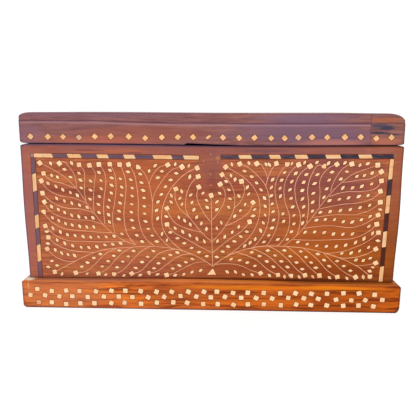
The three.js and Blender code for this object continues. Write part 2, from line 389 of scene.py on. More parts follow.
def smudge(tree, place, centre, radii, ragged=0.5, grain=(60, 60, 60)):
    """A soft patch: 1 at the centre of an ellipsoid and 0 outside it, its border broken by noise."""
    offset = node(tree, "VectorMath", {0: place, 1: centre}, operation="SUBTRACT").outputs[0]
    scaled = node(tree, "VectorMath", {0: offset, 1: radii}, operation="DIVIDE").outputs[0]
    length = node(tree, "VectorMath", {0: scaled}, operation="LENGTH").outputs["Value"]
    noise = cloud(tree, squeezed(tree, place, grain), 1.0, 5.0)
    broken = node(tree, "Math", {0: noise, 1: 2 * ragged, 2: length}, operation="MULTIPLY_ADD").outputs[0]
    return between(tree, broken, 1 + ragged, 0.35 + ragged, steps="SMOOTHSTEP")


blue_taken = (0.86, 0.74, 0.12, 1)


def timber(name, along, shades, streak, streak_share, edge_tint, patches=(), dullness=0.5, seed=0.0,
           outline_shade_tints=None, band_tint=None, line_wave=20.0, line_span=(0.53, 0.66), level=(1, 1, 1),
           warm=0.0):
    """Old oiled hardwood on Object coordinates. A slow noise drawn out along the grain moves between
    three shades, a finer one adds dark figure lines, the finest the pores, and patches lie on top.
    Attributes of the mesh carry tints for the joints, for painted shade along the outline, left and
    right, and for the pale band under the lid's joint. Everything is multiplied by level, and warm
    takes blue away towards the lower right."""
    material, tree, shader = fresh_material(name)
    place = node(tree, "TexCoord").outputs["Object"]
    sway = node(tree, "TexNoise", {"Vector": place, "Scale": 14.0, "Detail": 2.0}).outputs["Color"]
    bent = node(tree, "VectorMath", {0: sway, 1: (0.006, 0.006, 0.006), 2: place},
                operation="MULTIPLY_ADD").outputs[0]
    shifted = node(tree, "VectorMath", {0: bent, 1: (seed, seed * 0.7, seed * 1.3)}).outputs[0]
    drawn = grained(tree, shifted, along, 14)
    ramp = node(tree, "ValToRGB", {"Fac": cloud(tree, grained(tree, shifted, along, 9), 9.0, 4.0, 0.55)})
    stops = ramp.color_ramp.elements
    stops[0].position, stops[0].color = 0.38, shades[0]
    stops[1].position, stops[1].color = 0.64, shades[2]
    stops.new(0.5).color = shades[1]
    figure = cloud(tree, drawn, line_wave, 5.0, 0.6)
    lines = between(tree, figure, *line_span, 0.0, streak_share, "SMOOTHSTEP")
    colour = blended(tree, lines, ramp.outputs[0], streak)
    pores = cloud(tree, drawn, 46.0, 4.0, 0.75)
    colour = dimmed(tree, colour, between(tree, pores, 0.3, 0.7, 0.62, 1.36))
    for tint, centre, radii, share, *how in patches:
        mask = times(tree, smudge(tree, place, centre, radii, *how), share)
        colour = blended(tree, mask, colour, tint)
    colour = blended(tree, 1.0, colour, (*level, 1), "MULTIPLY")
    x, _, z = node(tree, "SeparateXYZ", {0: place}).outputs
    if warm:
        share = times(tree, between(tree, x, -0.07, 0.1, 0.0, warm), between(tree, z, 0.11, 0.045))
        colour = blended(tree, share, colour, blue_taken, "MULTIPLY")
    tints = [("edge", edge_tint, 0.7)]
    if band_tint:
        tints.append(("band", band_tint, 0.4))
    if outline_shade_tints:
        # Painted shade along the outline, its tint going from the left one to the right one
        tints.append(("outline_shade", blended(tree, between(tree, x, -0.05, 0.12), *outline_shade_tints), 0.95))
    for attribute, tint, share in tints:
        nearness = node(tree, "Attribute", attribute_name=attribute).outputs["Fac"]
        colour = blended(tree, times(tree, nearness, share), colour, tint)
    relief = node(tree, "Math", {0: pores, 1: figure}, operation="ADD").outputs[0]
    fill(tree, shader, {
        "Base Color": colour, "Specular IOR Level": 0.1,
        "Roughness": between(tree, figure, 0.3, 0.7, dullness - 0.08, dullness + 0.12),
        "Normal": node(tree, "Bump", {
            "Height": relief, "Strength": 0.3, "Distance": 0.1 * mm}).outputs[0]})
    return material


plinth_shades = [shade(172, 84, 44), shade(196, 98, 44), shade(214, 112, 40)]
plinth_streak = shade(124, 48, 20)
plinth_edge = shade(190, 102, 60)
# Painted shade along the plinth's outline: violet-brown at the left end, dark brown at the right
plinth_outline_shades = (shade(90, 52, 58), shade(50, 20, 10))
pale_red = shade(180, 104, 84)
ledge_grey = shade(160, 100, 88)
ledge_painted_light = shade(214, 132, 92)
plinth_patches = [
    (pale_red, (-0.125, plinth_face, 0.012), (0.06, 0.02, 0.02), 0.55, 0.5, (20, 60, 120)),
    (shade(232, 128, 40), (0.02, plinth_face, 0.0205), (0.08, 0.02, 0.003), 0.7, 0.5, (14, 60, 200)),
    (shade(224, 116, 40), (0.04, plinth_face, 0.008), (0.08, 0.02, 0.006), 0.5, 0.5, (14, 60, 200)),
    (shade(240, 140, 44), (0.11, plinth_face, 0.0208), (0.05, 0.02, 0.003), 0.8, 0.5, (14, 60, 200)),
    (shade(150, 62, 30), (0.094, plinth_face, 0.009), (0.014, 0.02, 0.009), 0.7, 0.5, (40, 60, 120)),
    # The ledge's top: pinkish-grey, and paler in the middle, where painted light makes up for the shade under
    # the body
    (ledge_grey, (-0.11, -0.104, plinth_top + 0.0004), (0.1, 0.006, 0.0026), 0.9, 0.3, (30, 60, 60)),
    (ledge_painted_light, (0.01, -0.104, plinth_top + 0.0006), (0.09, 0.006, 0.0016), 0.9, 0.3, (30, 60, 60)),
    (ledge_grey, (0.12, -0.104, plinth_top), (0.07, 0.006, 0.0014), 0.75, 0.3, (30, 60, 60)),
    # Painted highlight on the left end of the ledge
    (shade(226, 214, 222), (-0.152, -0.104, plinth_top), (0.006, 0.006, 0.0012), 0.8, 0.3),
    (shade(222, 176, 130), (plinth_chip["x"], plinth_face, plinth_top), (0.0022, 0.002, 0.0016), 0.9),
    (shade(230, 160, 150), (-0.1526, plinth_face, 0.0195), (0.001, 0.01, 0.004), 0.5, 0.6, (300, 60, 500)),
    (shade(230, 160, 150), (-0.1526, plinth_face, 0.0115), (0.001, 0.01, 0.003), 0.4, 0.6, (300, 60, 500)),
    (shade(120, 50, 26), (0.1361, plinth_face, 0.0185), (0.0022, 0.01, 0.0008), 0.8, 0.4, (300, 60, 300)),
]
# Dark grain lines along the plinth's face: the middle of each, half its length and its height, in mm
for middle, half, height in ((25, 24, 16.3), (36, 52, 11), (-22, 32, 5.7), (100, 50, 5.6), (-118, 34, 22.4),
                             (-70, 40, 13.6), (118, 40, 19.5)):
    plinth_patches.append((shade(112, 44, 16), (middle * mm, plinth_face, height * mm),
                           (half * mm, 10 * mm, 0.75 * mm), 0.75, 0.5, (25, 60, 300)))
plinth_long = timber(
    "plinth_wood_long", "X", plinth_shades, plinth_streak, 0.85, plinth_edge, plinth_patches,
    outline_shade_tints=plinth_outline_shades, line_wave=22.0, line_span=(0.51, 0.6), level=(1.04, 1.04, 0.72), warm=1.0)
plinth_short = timber("plinth_wood_short", "Y", plinth_shades, plinth_streak, 0.85, plinth_edge, seed=3.0,
                      level=(0.9, 0.88, 0.7))
board("plinth_front_rail", plinth_form, plinth_long, "plinth_wood", extra=chipped_edge)
board("plinth_back_rail", plinth_form, plinth_long, "plinth_wood")
board("plinth_left_rail", plinth_form, plinth_short, "plinth_wood")
board("plinth_right_rail", plinth_form, plinth_short, "plinth_wood")


# The body: four boards of red-brown hardwood and a floor, the ends bowed out a little. The front one
# carries the inlay. It is greyer towards the rims, glows orange in the middle, and keeps a dark stain
# where a lock once sat.
body_half_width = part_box("body_front_board")[1].x
body_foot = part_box("body_front_board")[0].z
body_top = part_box("body_front_board")[1].z
joint_drop = {"by": 1.05 * mm, "x": 33 * mm, "half": 145 * mm}
body_gap = 0.14 * mm
gap_reach = 6 * mm
joint_ends = {"left": (5 * mm, 2 * mm), "right": (3.4 * mm, 1.8 * mm)}
body_ends = [{"by": 0.65 * mm, "z": 85 * mm, "half": 50 * mm},
             {"by": 0.9 * mm, "z": 80 * mm, "half": 48 * mm}]
fine_ease = (0.6 * mm, 0.6 * mm)
foot_rises_below = 60 * mm
top_drops_above = 100 * mm
body_shades = [shade(168, 88, 62), shade(184, 102, 66), shade(198, 116, 66)]
body_streak = shade(138, 62, 44)
body_edge = shade(120, 62, 46)
# Painted shade along the body's outline: violet-grey at the left end, dark brown at the right
body_outline_shades = (shade(74, 64, 92), shade(74, 36, 22))
rim_left = shade(174, 106, 96)
rim_top = shade(158, 98, 90)
rim_right = shade(164, 92, 66)
stain = shade(150, 92, 86)
glow = shade(206, 112, 56)
body_patches = [
    (rim_left, (-0.150, body_face, 0.09), (0.011, 0.02, 0.09), 0.85, 0.4),
    (rim_top, (-0.07, body_face, 0.1335), (0.12, 0.02, 0.008), 0.8, 0.4),
    (rim_top, (0.08, body_face, 0.1335), (0.11, 0.02, 0.008), 0.8, 0.4),
    (rim_right, (0.150, body_face, 0.09), (0.009, 0.02, 0.09), 0.7, 0.4),
    (shade(104, 76, 92), (0.045, body_face, 0.1335), (0.03, 0.01, 0.0022), 0.5, 0.7, (60, 60, 500)),
    (shade(196, 108, 74), (-0.075, body_face, 0.1325), (0.05, 0.01, 0.0022), 0.6, 0.8, (40, 60, 500)),
    (shade(104, 62, 78), (-0.098, body_face, 0.1332), (0.016, 0.01, 0.0009), 0.7, 0.8, (90, 60, 600)),
    (shade(104, 62, 78), (-0.06, body_face, 0.1312), (0.01, 0.01, 0.0008), 0.7, 0.8, (90, 60, 600)),
    (glow, (-0.055, body_face, 0.095), (0.05, 0.02, 0.04), 0.55),
    (glow, (-0.10, body_face, 0.06), (0.04, 0.02, 0.03), 0.25),
    (glow, (0.09, body_face, 0.06), (0.05, 0.02, 0.03), 0.5),
    (shade(158, 74, 54), (0.06, body_face, 0.033), (0.12, 0.02, 0.009), 0.6, 0.5, (20, 60, 120)),
    (shade(140, 76, 78), (0.09, body_face, 0.108), (0.06, 0.02, 0.03), 0.65),
    (stain, (0.001, body_face, 0.121), (0.014, 0.02, 0.02), 0.6, 0.9, (220, 60, 130)),
    (shade(110, 60, 50), (0.003, body_face, 0.108), (0.006, 0.02, 0.014), 0.25, 0.9, (260, 60, 110)),
    (shade(186, 150, 90), (0.0065, body_face, 0.1275), (0.0025, 0.01, 0.002), 0.5, 0.9, (700, 60, 700)),
    # Painted shade: a dark brown line along the body's foot, just above the ledge
    (shade(100, 36, 12), (0.055, body_face, 0.0262), (0.13, 0.02, 0.0019), 0.85, 0.2, (30, 60, 60)),
    (shade(134, 124, 104), (0.1454, body_face, 0.1308), (0.0025, 0.01, 0.0022), 0.6, 0.7, (300, 60, 300)),
    # Painted shade: a navy tint on the top of the body's walls, seen through the gap under the lid as its
    # shadow
    (shade(40, 70, 190), (0, -0.0925, 0.1378), (0.6, 0.0082, 0.003), 1.0, 0.1, (20, 60, 60)),
]
body_long = timber("body_wood_long", "X", body_shades, body_streak, 0.5, body_edge, body_patches, seed=1.0,
                   outline_shade_tints=body_outline_shades, level=(0.77, 0.73, 0.74), warm=1.0)
body_short = timber("body_wood_short", "Y", body_shades, body_streak, 0.5, body_edge, seed=5.0,
                    level=(0.76, 0.74, 0.7))


def bowed(points):
    """The ends of the body bow out: each side moves out under a bell curve up its height."""
    left, right = (end["by"] * bell(points[:, 2], end["z"], end["half"]) for end in body_ends)
    out = np.where(points[:, 0] < 0, left, right) / body_half_width
    return np.stack([points[:, 0] * (1 + out), points[:, 1], points[:, 2]], 1)


def near_front(points):
    """1 on the front face, falling evenly to 0 a little way behind it."""
    return np.clip(1 - (points[:, 1] - body_face) / gap_reach, 0, 1)


def body_form(points):
    """The body's outline: the top corners of its ends worn round, the rest only broken. Its top edge
    has sunk under the lid's middle, a little more along the front, and its foot follows the plinth."""
    low = np.array([-body_half_width, body_face, body_foot])
    high = np.array([body_half_width, -body_face, body_top])
    front = [fine_ease, fine_ease, joint_ends["right"], joint_ends["left"]]
    points = eased(points, low, high, front, [fine_ease] * 4, upright_ease)
    outline = outline_shade(points, low - upwards, high, front)
    x, _, z = points.T
    drop = body_gap * near_front(points) + joint_drop["by"] * bell(x, joint_drop["x"], joint_drop["half"])
    rise = seam_rise["by"] * bell(x, seam_rise["x"], seam_rise["half"])
    points[:, 2] += (rise * np.clip((foot_rises_below - z) / (foot_rises_below - body_foot), 0, 1)
                     - drop * np.clip((z - top_drops_above) / (body_top - top_drops_above), 0, 1))
    return bowed(points), outline


for body_node in ("body_front_board", "body_back_board"):
    board(body_node, body_form, body_long, "body_wood")
for body_node in ("body_left_board", "body_right_board", "body_floor_board"):
    board(body_node, body_form, body_short, "body_wood")


# The lid: a frame of four rails with a long board and an end board on top, glued up and planed as
# one, its shoulders worn round. A wedge is gone from its lower front edge, where a hasp came through.
lid_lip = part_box("lid_front_rail")[0].z
rest_gap = 0.3 * mm
lid_foot = body_top + rest_gap
lid_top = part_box("lid_top_board")[1].z
lid_rail_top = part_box("lid_front_rail")[1].z
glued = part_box("lid_top_board")[0].z - lid_rail_top
lid_gap = 0.2 * mm
lid_top_drop = 0.5 * mm
lip_clearance = 0.8 * mm
wall_thickness = 13 * mm
rail_step = 3 * mm
lip_step = 8 * mm
lip_overlap = 2 * mm
top_ease = (2.2 * mm, 2.2 * mm)
lid_end_lean = {"left foot": 0.0, "left top": 0.25 * mm, "right foot": 0.3 * mm, "right top": 0.8 * mm}
band_below = 1.5 * mm
band_half = 0.7 * mm
joint_lift = {"by": 1.35 * mm, "from": -30 * mm, "to": -108 * mm}
joint_share = (lid_rail_top - lid_foot) / (lid_top - lid_foot)
shoulders = {"right": (13.4 * mm, 7.5 * mm), "left": (9.3 * mm, 5.5 * mm)}
hasp = {"from": -18.8 * mm, "to": 23.5 * mm, "high": 1.3 * mm, "deep": 9 * mm}


def lid_share(points):
    """How far up the lid each point lies, 0 at its foot and 1 at its top."""
    return np.clip((points[:, 2] - lid_foot) / (lid_top - lid_foot), 0, 1)


def leaned(points):
    """The lid's ends draw in towards the top, the right one more."""
    share = lid_share(points)
    left, right = (lid_end_lean[side + " foot"] * (1 - share) + lid_end_lean[side + " top"] * share
                   for side in ("left", "right"))
    inward = np.where(points[:, 0] < 0, left, right) / body_half_width
    return np.stack([points[:, 0] * (1 - inward), points[:, 1], points[:, 2]], 1)


def lid_form(points):
    """The lid's outline: a long worn shoulder at each end and small ones front and back. It has sunk
    in the middle with the body's edge, its foot more than its top, and the joint between its rail and
    its board rises towards the left."""
    low = np.array([-body_half_width, body_face, lid_foot])
    high = np.array([body_half_width, -body_face, lid_top])
    front = [joint_ends["left"], joint_ends["right"], shoulders["right"], shoulders["left"]]
    points = eased(points, low, high, front, [fine_ease, fine_ease, top_ease, top_ease], upright_ease)
    outline = outline_shade(points, low - upwards, high + upwards, front)
    share = lid_share(points)
    depth = joint_drop["by"] * (1 - share) + lid_top_drop * share
    drop = depth * bell(points[:, 0], joint_drop["x"], joint_drop["half"])
    in_rail = np.clip((lid_rail_top - points[:, 2]) / (lid_rail_top - lid_foot), 0, 1)
    points[:, 2] += lid_gap * near_front(points) * in_rail - drop
    near_joint = np.clip(np.minimum(share / joint_share, (1 - share) / (1 - joint_share)), 0, 1)
    reach = joint_lift["to"] - joint_lift["from"]
    left = np.clip((points[:, 0] - joint_lift["from"]) / reach, 0, 1)
    points[:, 2] += joint_lift["by"] * near_joint * left ** 2 * (3 - 2 * left)
    return leaned(points), outline


def hasp_wedge(points):
    """The missing wedge: behind the front face the foot of the rail rises by a height that falls
    evenly from the wedge's left end to nothing at its right end."""
    x, y, z = points.T
    share = np.clip((hasp["to"] - x) / (hasp["to"] - hasp["from"]), 0, 1) * (x > hasp["from"])
    lift = hasp["high"] * share * (y < body_face + hasp["deep"])
    height = lid_rail_top - lid_foot
    return np.stack([x, y, z + lift * np.clip(1 - (z - lid_foot) / height, 0, 1)], 1)


def lid_rail(node_name, material, slot, extra=None):
    """A rail of the lid's frame: a worn board, and the lip on its inner edge that drops into the body."""
    low, high = (np.array(corner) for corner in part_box(node_name))
    rail_low = np.array([low[0] - (glued if low[0] > 0 else 0), low[1], lid_foot])
    points, quads, edge = board_grid(rail_low, high, rail_step)
    points = rounded(points, rail_low, high, arris)
    band = np.exp(-((points[:, 2] - lid_rail_top + band_below) / band_half) ** 2)
    points, outline = lid_form(points)
    if extra:
        points = extra(points)
    inner = np.array([body_half_width, -body_face, 0]) - wall_thickness - lip_clearance
    lip_low = np.array([max(low[0], -inner[0]), max(low[1], -inner[1]), lid_lip])
    lip_high = np.array([min(high[0], inner[0]), min(high[1], inner[1]), lid_foot + lip_overlap])
    lip_points, lip_quads, lip_edge = board_grid(lip_low, lip_high, lip_step)
    lip_points = rounded(lip_points, lip_low, lip_high, arris)
    none = np.zeros(len(lip_points))
    return show("worn_" + node_name, np.concatenate([points, lip_points]),
                np.concatenate([quads, lip_quads + len(points)]), material, slot, [node_name],
                {"edge": np.concatenate([edge, lip_edge]), "outline_shade": np.concatenate([outline, none]),
                 "band": np.concatenate([band, none])})


# The lid's shades, levels and purple patches give its red-brown wood a violet-grey cast, most near the top:
# its own colour with a painted bluish-white sheen of the white room in it
lid_shades = [shade(146, 92, 88), shade(156, 98, 90), shade(164, 104, 90)]
lid_streak = shade(122, 74, 78)
lid_edge = shade(84, 54, 78)
block_edge = shade(104, 62, 70)
# Painted shade along the lid's outline: violet-grey at the left end, dark brown at the right
lid_outline_shades = (shade(78, 68, 92), shade(74, 38, 34))
lid_band = shade(186, 142, 146)
purple_sheen = shade(132, 96, 112)
lid_patches = [
    (shade(170, 92, 70), (-0.055, body_face, 0.147), (0.075, 0.03, 0.008), 0.6, 0.6, (12, 60, 150)),
    (purple_sheen, (0.075, body_face, 0.149), (0.08, 0.03, 0.013), 0.8, 0.6, (12, 60, 150)),
    (purple_sheen, (-0.10, body_face, 0.161), (0.08, 0.03, 0.004), 0.4, 0.6, (12, 60, 150)),
    (shade(152, 102, 108), (-0.145, body_face, 0.146), (0.016, 0.03, 0.012), 0.7, 0.6, (40, 60, 150)),
    (shade(204, 106, 74), (-0.085, body_face, 0.1415), (0.06, 0.03, 0.0045), 0.6, 0.6, (20, 60, 150)),
    (shade(194, 120, 104), (0.0965, body_face, 0.1395), (0.0335, 0.02, 0.0046), 0.8, 0.1, (20, 60, 60)),
    (shade(104, 70, 92), (0.0965, body_face, 0.1441), (0.034, 0.01, 0.0005), 0.7, 0.1, (20, 60, 60)),
    (shade(140, 104, 124), (0.08, body_face, 0.16), (0.06, 0.03, 0.004), 0.6, 0.6, (12, 60, 150)),
]
block_patches = [
    (shade(190, 104, 70), (0.137, body_face, 0.1578), (0.018, 0.03, 0.0026), 0.8, 0.8, (30, 60, 500)),
    (shade(88, 78, 92), (0.132, body_face, 0.1533), (0.013, 0.03, 0.0024), 0.95, 0.7, (60, 60, 300)),
    (shade(70, 66, 82), (0.1375, body_face, 0.1515), (0.008, 0.03, 0.0022), 0.95, 0.7, (80, 60, 300)),
    (shade(70, 62, 76), (0.132, body_face, 0.1479), (0.012, 0.03, 0.0015), 0.95, 0.5, (80, 60, 300)),
    (shade(80, 66, 78), (0.1435, body_face, 0.1468), (0.008, 0.03, 0.0011), 0.85, 0.5, (80, 60, 300)),
    (shade(208, 116, 86), (0.138, body_face, 0.1415), (0.02, 0.03, 0.004), 0.8, 0.5, (30, 60, 200)),
]
lid_long = timber("lid_wood_long", "X", lid_shades, lid_streak, 0.4, lid_edge, lid_patches, seed=7.0,
                  outline_shade_tints=lid_outline_shades, band_tint=lid_band, level=(0.74, 0.78, 0.84))
lid_short = timber("lid_wood_short", "Y", lid_shades, lid_streak, 0.4, lid_edge, seed=9.0,
                   level=(0.74, 0.78, 0.8))
lid_block = timber("lid_end_wood_streaked", "X", lid_shades, lid_streak, 0.5, block_edge, block_patches,
                   seed=11.0, outline_shade_tints=lid_outline_shades, level=(0.68, 0.74, 0.8))
lid_rail("lid_front_rail", lid_long, "lid_wood", hasp_wedge)
lid_rail("lid_back_rail", lid_long, "lid_wood")
lid_rail("lid_left_rail", lid_short, "lid_wood")
lid_rail("lid_right_rail", lid_block, "lid_end_wood")
board("lid_top_board", lid_form, lid_long, "lid_wood", grown=(0, 0, glued))
board("lid_top_end_board", lid_form, lid_block, "lid_end_wood", grown=(glued, 0, glued))


# The border let into the front: single strips of bone and ebony with slanted ends, each run in a
# groove of its own, set in dark glue that shows as a thin line round them.
glue_line = 0.48 * mm
glue_proud = 0.03 * mm
glue_bevel = 0.01 * mm
buried = 1.0 * mm


def bone(name, along, ground, core, tone_tint):
    """Old bone: cream with yellower cores, drawn out along the strip, and fine grey veins. A tone
    attribute, where the piece has one, moves single slips towards a second tint."""
    material, tree, shader = fresh_material(name, {"Roughness": 0.45, "Specular IOR Level": 0.2})
    place = grained(tree, node(tree, "TexCoord").outputs["Object"], along, 8)
    share = between(tree, cloud(tree, place, 60.0, 3.0), 0.4, 0.62, steps="SMOOTHSTEP")
    veins = cloud(tree, place, 260.0, 4.0)
    veined = between(tree, veins, 0.35, 0.65, 0.88, 1.06)
    colour = dimmed(tree, blended(tree, share, ground, core), veined)
    tone = node(tree, "Attribute", attribute_name="tone").outputs["Fac"]
    bump = node(tree, "Bump", {"Height": veins, "Strength": 0.25, "Distance": 0.05 * mm}).outputs[0]
    fill(tree, shader, {"Base Color": blended(tree, tone, colour, tone_tint), "Normal": bump})
    return material


def ebony(name, along):
    """Ebony turning grey-violet towards the left and brown towards the lower right, with
    streaks along the strip."""
    material, tree, shader = fresh_material(name, {"Roughness": 0.5, "Specular IOR Level": 0.1})
    place = node(tree, "TexCoord").outputs["Object"]
    streaks = cloud(tree, grained(tree, place, along, 8), 90.0, 4.0)
    share = between(tree, streaks, 0.35, 0.7, steps="SMOOTHSTEP")
    colour = blended(tree, share, shade(44, 38, 48), shade(86, 70, 80))
    x, _, z = node(tree, "SeparateXYZ", {0: place}).outputs
    towards_left = between(tree, x, 0.11, -0.13, 0.0, 0.62)
    towards_lower_right = times(tree, between(tree, x, 0.04, 0.12), between(tree, z, 0.128, 0.06))
    colour = blended(tree, towards_left, colour, shade(128, 92, 104))
    colour = blended(tree, towards_lower_right, colour, shade(72, 30, 20))
    bump = node(tree, "Bump", {"Height": streaks, "Strength": 0.25, "Distance": 0.05 * mm}).outputs[0]
    fill(tree, shader, {"Base Color": colour, "Normal": bump})
    return material


def glue(name):
    """Dark resin glue with dirt in it."""
    material, tree, shader = fresh_material(name, {"Roughness": 0.7, "Specular IOR Level": 0.05})
    dirt = cloud(tree, node(tree, "TexCoord").outputs["Object"], 900.0, 3.0)
    fill(tree, shader, {"Base Color": blended(tree, dirt, shade(84, 32, 12), shade(128, 56, 24))})
    return material


bone_ground = shade(230, 186, 142)
bone_core = shade(226, 170, 114)
bone_grey = shade(206, 160, 124)
bone_across = bone("bone_across", "X", bone_ground, bone_core, bone_grey)
bone_upright = bone("bone_upright", "Z", bone_ground, bone_core, bone_grey)
ebony_across = ebony("ebony_across", "X")
ebony_upright = ebony("ebony_upright", "Z")
dark_glue = glue("dark_glue")

# A side of the box: a point on it, the way across it, the way up it and the way out of it
sides = {
    "front": ((0, body_face, 0), (1, 0, 0), (0, 0, 1), (0, -1, 0)),
    "left": ((-body_half_width, 0, 0), (0, -1, 0), (0, 0, 1), (-1, 0, 0)),
    "right": ((body_half_width, 0, 0), (0, 1, 0), (0, 0, 1), (1, 0, 0)),
    "plinth_front": ((0, plinth_face + slip_room, 0), (1, 0, 0), (0, 0, 1), (0, -1, 0)),
    "plinth_left": ((slip_room - plinth_half_width, 0, 0), (0, -1, 0), (0, 0, 1), (-1, 0, 0)),
    "plinth_right": ((plinth_half_width - slip_room, 0, 0), (0, 1, 0), (0, 0, 1), (1, 0, 0)),
}


def on_side(side, flat, height):
    """Points of a side's own (across, up) plane, with a height out of it, as points in space."""
    origin, across, up, out = (np.array(v, float) for v in sides[side])
    return origin + flat[..., :1] * across + flat[..., 1:2] * up + np.asarray(height)[..., None] * out


def slips(outlines, proud, inset, side, sunk=buried):
    """Many slips with the same number of corners. Each is a closed block: its outline buried in the
    wood, the same outline just under its face, and a smaller one on the face, which breaks the edge."""
    count, corners, _ = outlines.shape
    centre = outlines.mean(1, keepdims=True)
    reach = np.linalg.norm(outlines - centre, axis=2, keepdims=True)
    drawn_in = centre + (outlines - centre) * (1 - inset / reach)
    proud = np.broadcast_to(proud, count)[:, None]
    flat = np.concatenate([outlines, outlines, drawn_in], 1)
    height = np.concatenate([np.full((count, corners), -sunk), np.repeat(proud - inset * 0.5, corners, 1),
                             np.repeat(proud, corners, 1)], 1)
    points = on_side(side, flat, height).reshape(-1, 3)
    start = np.arange(count)[:, None] * 3 * corners
    ring = np.arange(corners)
    after = np.roll(ring, -1)
    walls = [np.stack([ring + low, after + low, after + low + corners, ring + low + corners], -1)
             for low in (0, corners)]
    quads = (start[:, :, None] + np.concatenate(walls)[None]).reshape(-1, 4)
    caps = np.concatenate([start + ring + 2 * corners, start + ring[::-1]])
    return points, quads.tolist() + caps.tolist()


def show_glue(name, outlines, side, proud=glue_proud, bend=None):
    """The glue round slips on a side of the box, bent as its board is."""
    points, faces = slips(outlines, proud, glue_bevel, side)
    show(name, bend(points) if bend else points, faces, dark_glue, "ebony")


border_outlines = []
for node_name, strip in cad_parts.items():
    if not node_name.startswith("border_"):
        continue
    upright = node_name.startswith(("border_left", "border_right"))
    if node_name.endswith("bone"):
        strip_material = bone_upright if upright else bone_across
    else:
        strip_material = ebony_upright if upright else ebony_across
    for material_slot in strip.material_slots:
        material_slot.material = strip_material
    corners = np.empty((len(strip.data.vertices), 3), np.float32)
    strip.data.vertices.foreach_get("co", corners.ravel())
    corners = corners.astype(float)
    corners = np.unique(corners[corners[:, 1] < body_face][:, [0, 2]].round(6), axis=0)
    middle = corners.mean(0)
    turn = np.arctan2(*(corners - middle)[:, ::-1].T)
    corners = corners[np.argsort(turn)]
    border_outlines.append(corners + np.sign(corners - middle) * glue_line)
show_glue("border_glue", np.array(border_outlines), "front")


# The fern: stems, boughs and fronds of thin bone wire laid in sawn lines, a square slip at each tip
# and lozenges between them. Its places are read off the photograph, in pixels of 416. Each
# line runs from its tip to its root, and a tip's third number turns its square, in degrees.
wire_half = 0.18 * mm
wire_proud = 0.06 * mm
wire_top_share = 0.6
wire_edge_share = 0.4
slip_proud = 0.09 * mm
slip_bevel = 0.1 * mm
square_side = 3.75 * mm
leaf_long = 4.5 * mm
leaf_wide = 2.6 * mm
leaf_bevel = 0.08 * mm
square_bed = 1.2
leaf_bed = 1.3
chance = np.random.default_rng(7)

stem = [(211.2, 195.5, 20), (211.6, 222.8), (212.7, 266.4)]
left_low_bough = [(54.8, 271.9, 8), (66, 266), (81, 258.2), (100.7, 250.5), (127, 247.4), (154, 246.5),
                  (182.4, 250.8), (198, 257), (212.7, 266.4)]
left_high_bough = [(39.7, 163, 35), (50, 168), (63, 175.7), (76, 188), (92.4, 211), (110, 231),
                   (126, 241.3), (135, 244.8)]
left_top = [
    [(59.3, 163.5, 35), (62.4, 161.3), (70, 168), (74.6, 176), (76.3, 187)],
    [(79, 164.8, 5), (83.5, 170), (84.4, 181), (84.4, 191), (86, 201)],
    [(89.4, 165.3, 15), (94.6, 171.5), (94.3, 184), (93.4, 200), (94.3, 212)],
    [(98.9, 164.4, 3), (104.2, 172), (105.9, 183), (104.2, 196), (103.6, 209), (105, 224)],
    [(109.8, 164.2, 5), (114, 172), (116, 185), (114.7, 202), (112.5, 218), (115, 233)],
    [(119.6, 164.5, 8), (123.7, 173), (126, 185.5), (125, 201), (124, 216), (129, 237), (136, 245)],
    [(128.5, 164.5, 20), (133.3, 172), (137, 188), (138.3, 201), (138.3, 216), (146, 238.7), (154, 245.8)],
    [(138.4, 167, 10), (145.4, 175), (149, 184.3), (152.3, 201), (153.7, 228.5), (162.6, 240.6), (172, 249)],
    [(167.7, 164.9, 30), (160, 167), (151.8, 176.6), (149, 184.3)],
    [(182, 166.9, 35), (173.5, 169), (162, 181), (154.4, 194), (152.4, 202)],
    [(197.2, 168, 25), (188, 172), (175.4, 183), (165.8, 198), (161.6, 214), (164, 231), (174, 243.8),
     (183, 251)],
]
left_side = [
    [(43.5, 173.4, 5), (49, 179), (63, 183.6), (75.5, 188.5)],
    [(41.3, 180.8, 25), (46.5, 188.4), (58.6, 195), (74.6, 198.3), (86.5, 203.5)],
    [(42.5, 193.2, 8), (49, 200), (62.4, 207), (85.4, 210), (93.5, 213)],
    [(44.4, 202, 30), (49, 210), (63.7, 217.7), (91.8, 221), (103.5, 224.5)],
    [(43.5, 212, 30), (49.7, 220), (63, 228), (82, 230.7), (112, 232.5)],
    [(45.3, 226, 20), (53, 233.6), (66, 240), (85, 241.4), (125, 241.5)],
    [(48.3, 237.4, 2), (55.4, 243.8), (69.5, 250), (84, 251.8), (95, 252.3)],
    [(47.2, 248.9, 25), (54, 255.6), (64.4, 260.7), (75.5, 261)],
]
left_foot = [
    [(75.8, 272.8, 20), (85, 271.5), (95.6, 263.6), (105, 254), (117, 248.5)],
    [(98.5, 273.5, 12), (107, 269), (116, 259), (124.4, 251.5), (134, 246.8)],
    [(114.1, 274.4, 20), (123, 270), (133.3, 259), (144.8, 249), (151, 246.3)],
    [(131.8, 273.6, 35), (139.7, 271.5), (150, 261.7), (160.7, 252.7), (175, 249.4)],
    [(148.4, 273, 30), (156, 271.5), (167.7, 263.6), (178, 256.6), (190, 253.7)],
    [(166.6, 275, 15), (174, 273), (185, 267.4), (196.4, 262.6), (207, 262)],
]
left_middle = [
    [(167, 224.5, 5), (172, 230.7), (188, 240), (212, 252.7)],
    [(167, 208.4, 30), (168.4, 213), (175.4, 223), (187, 228.5), (201, 232)],
    [(175.8, 189, 20), (175, 197), (178.6, 207), (189.5, 217.7), (201.5, 232.3), (211.5, 241.5)],
    [(198.2, 176.5, 20), (192, 182.4), (186.2, 196.4), (186.2, 210.4), (189.5, 217.7)],
    [(198.8, 187, 25), (196.8, 195), (201, 208), (211.4, 222.4)],
]
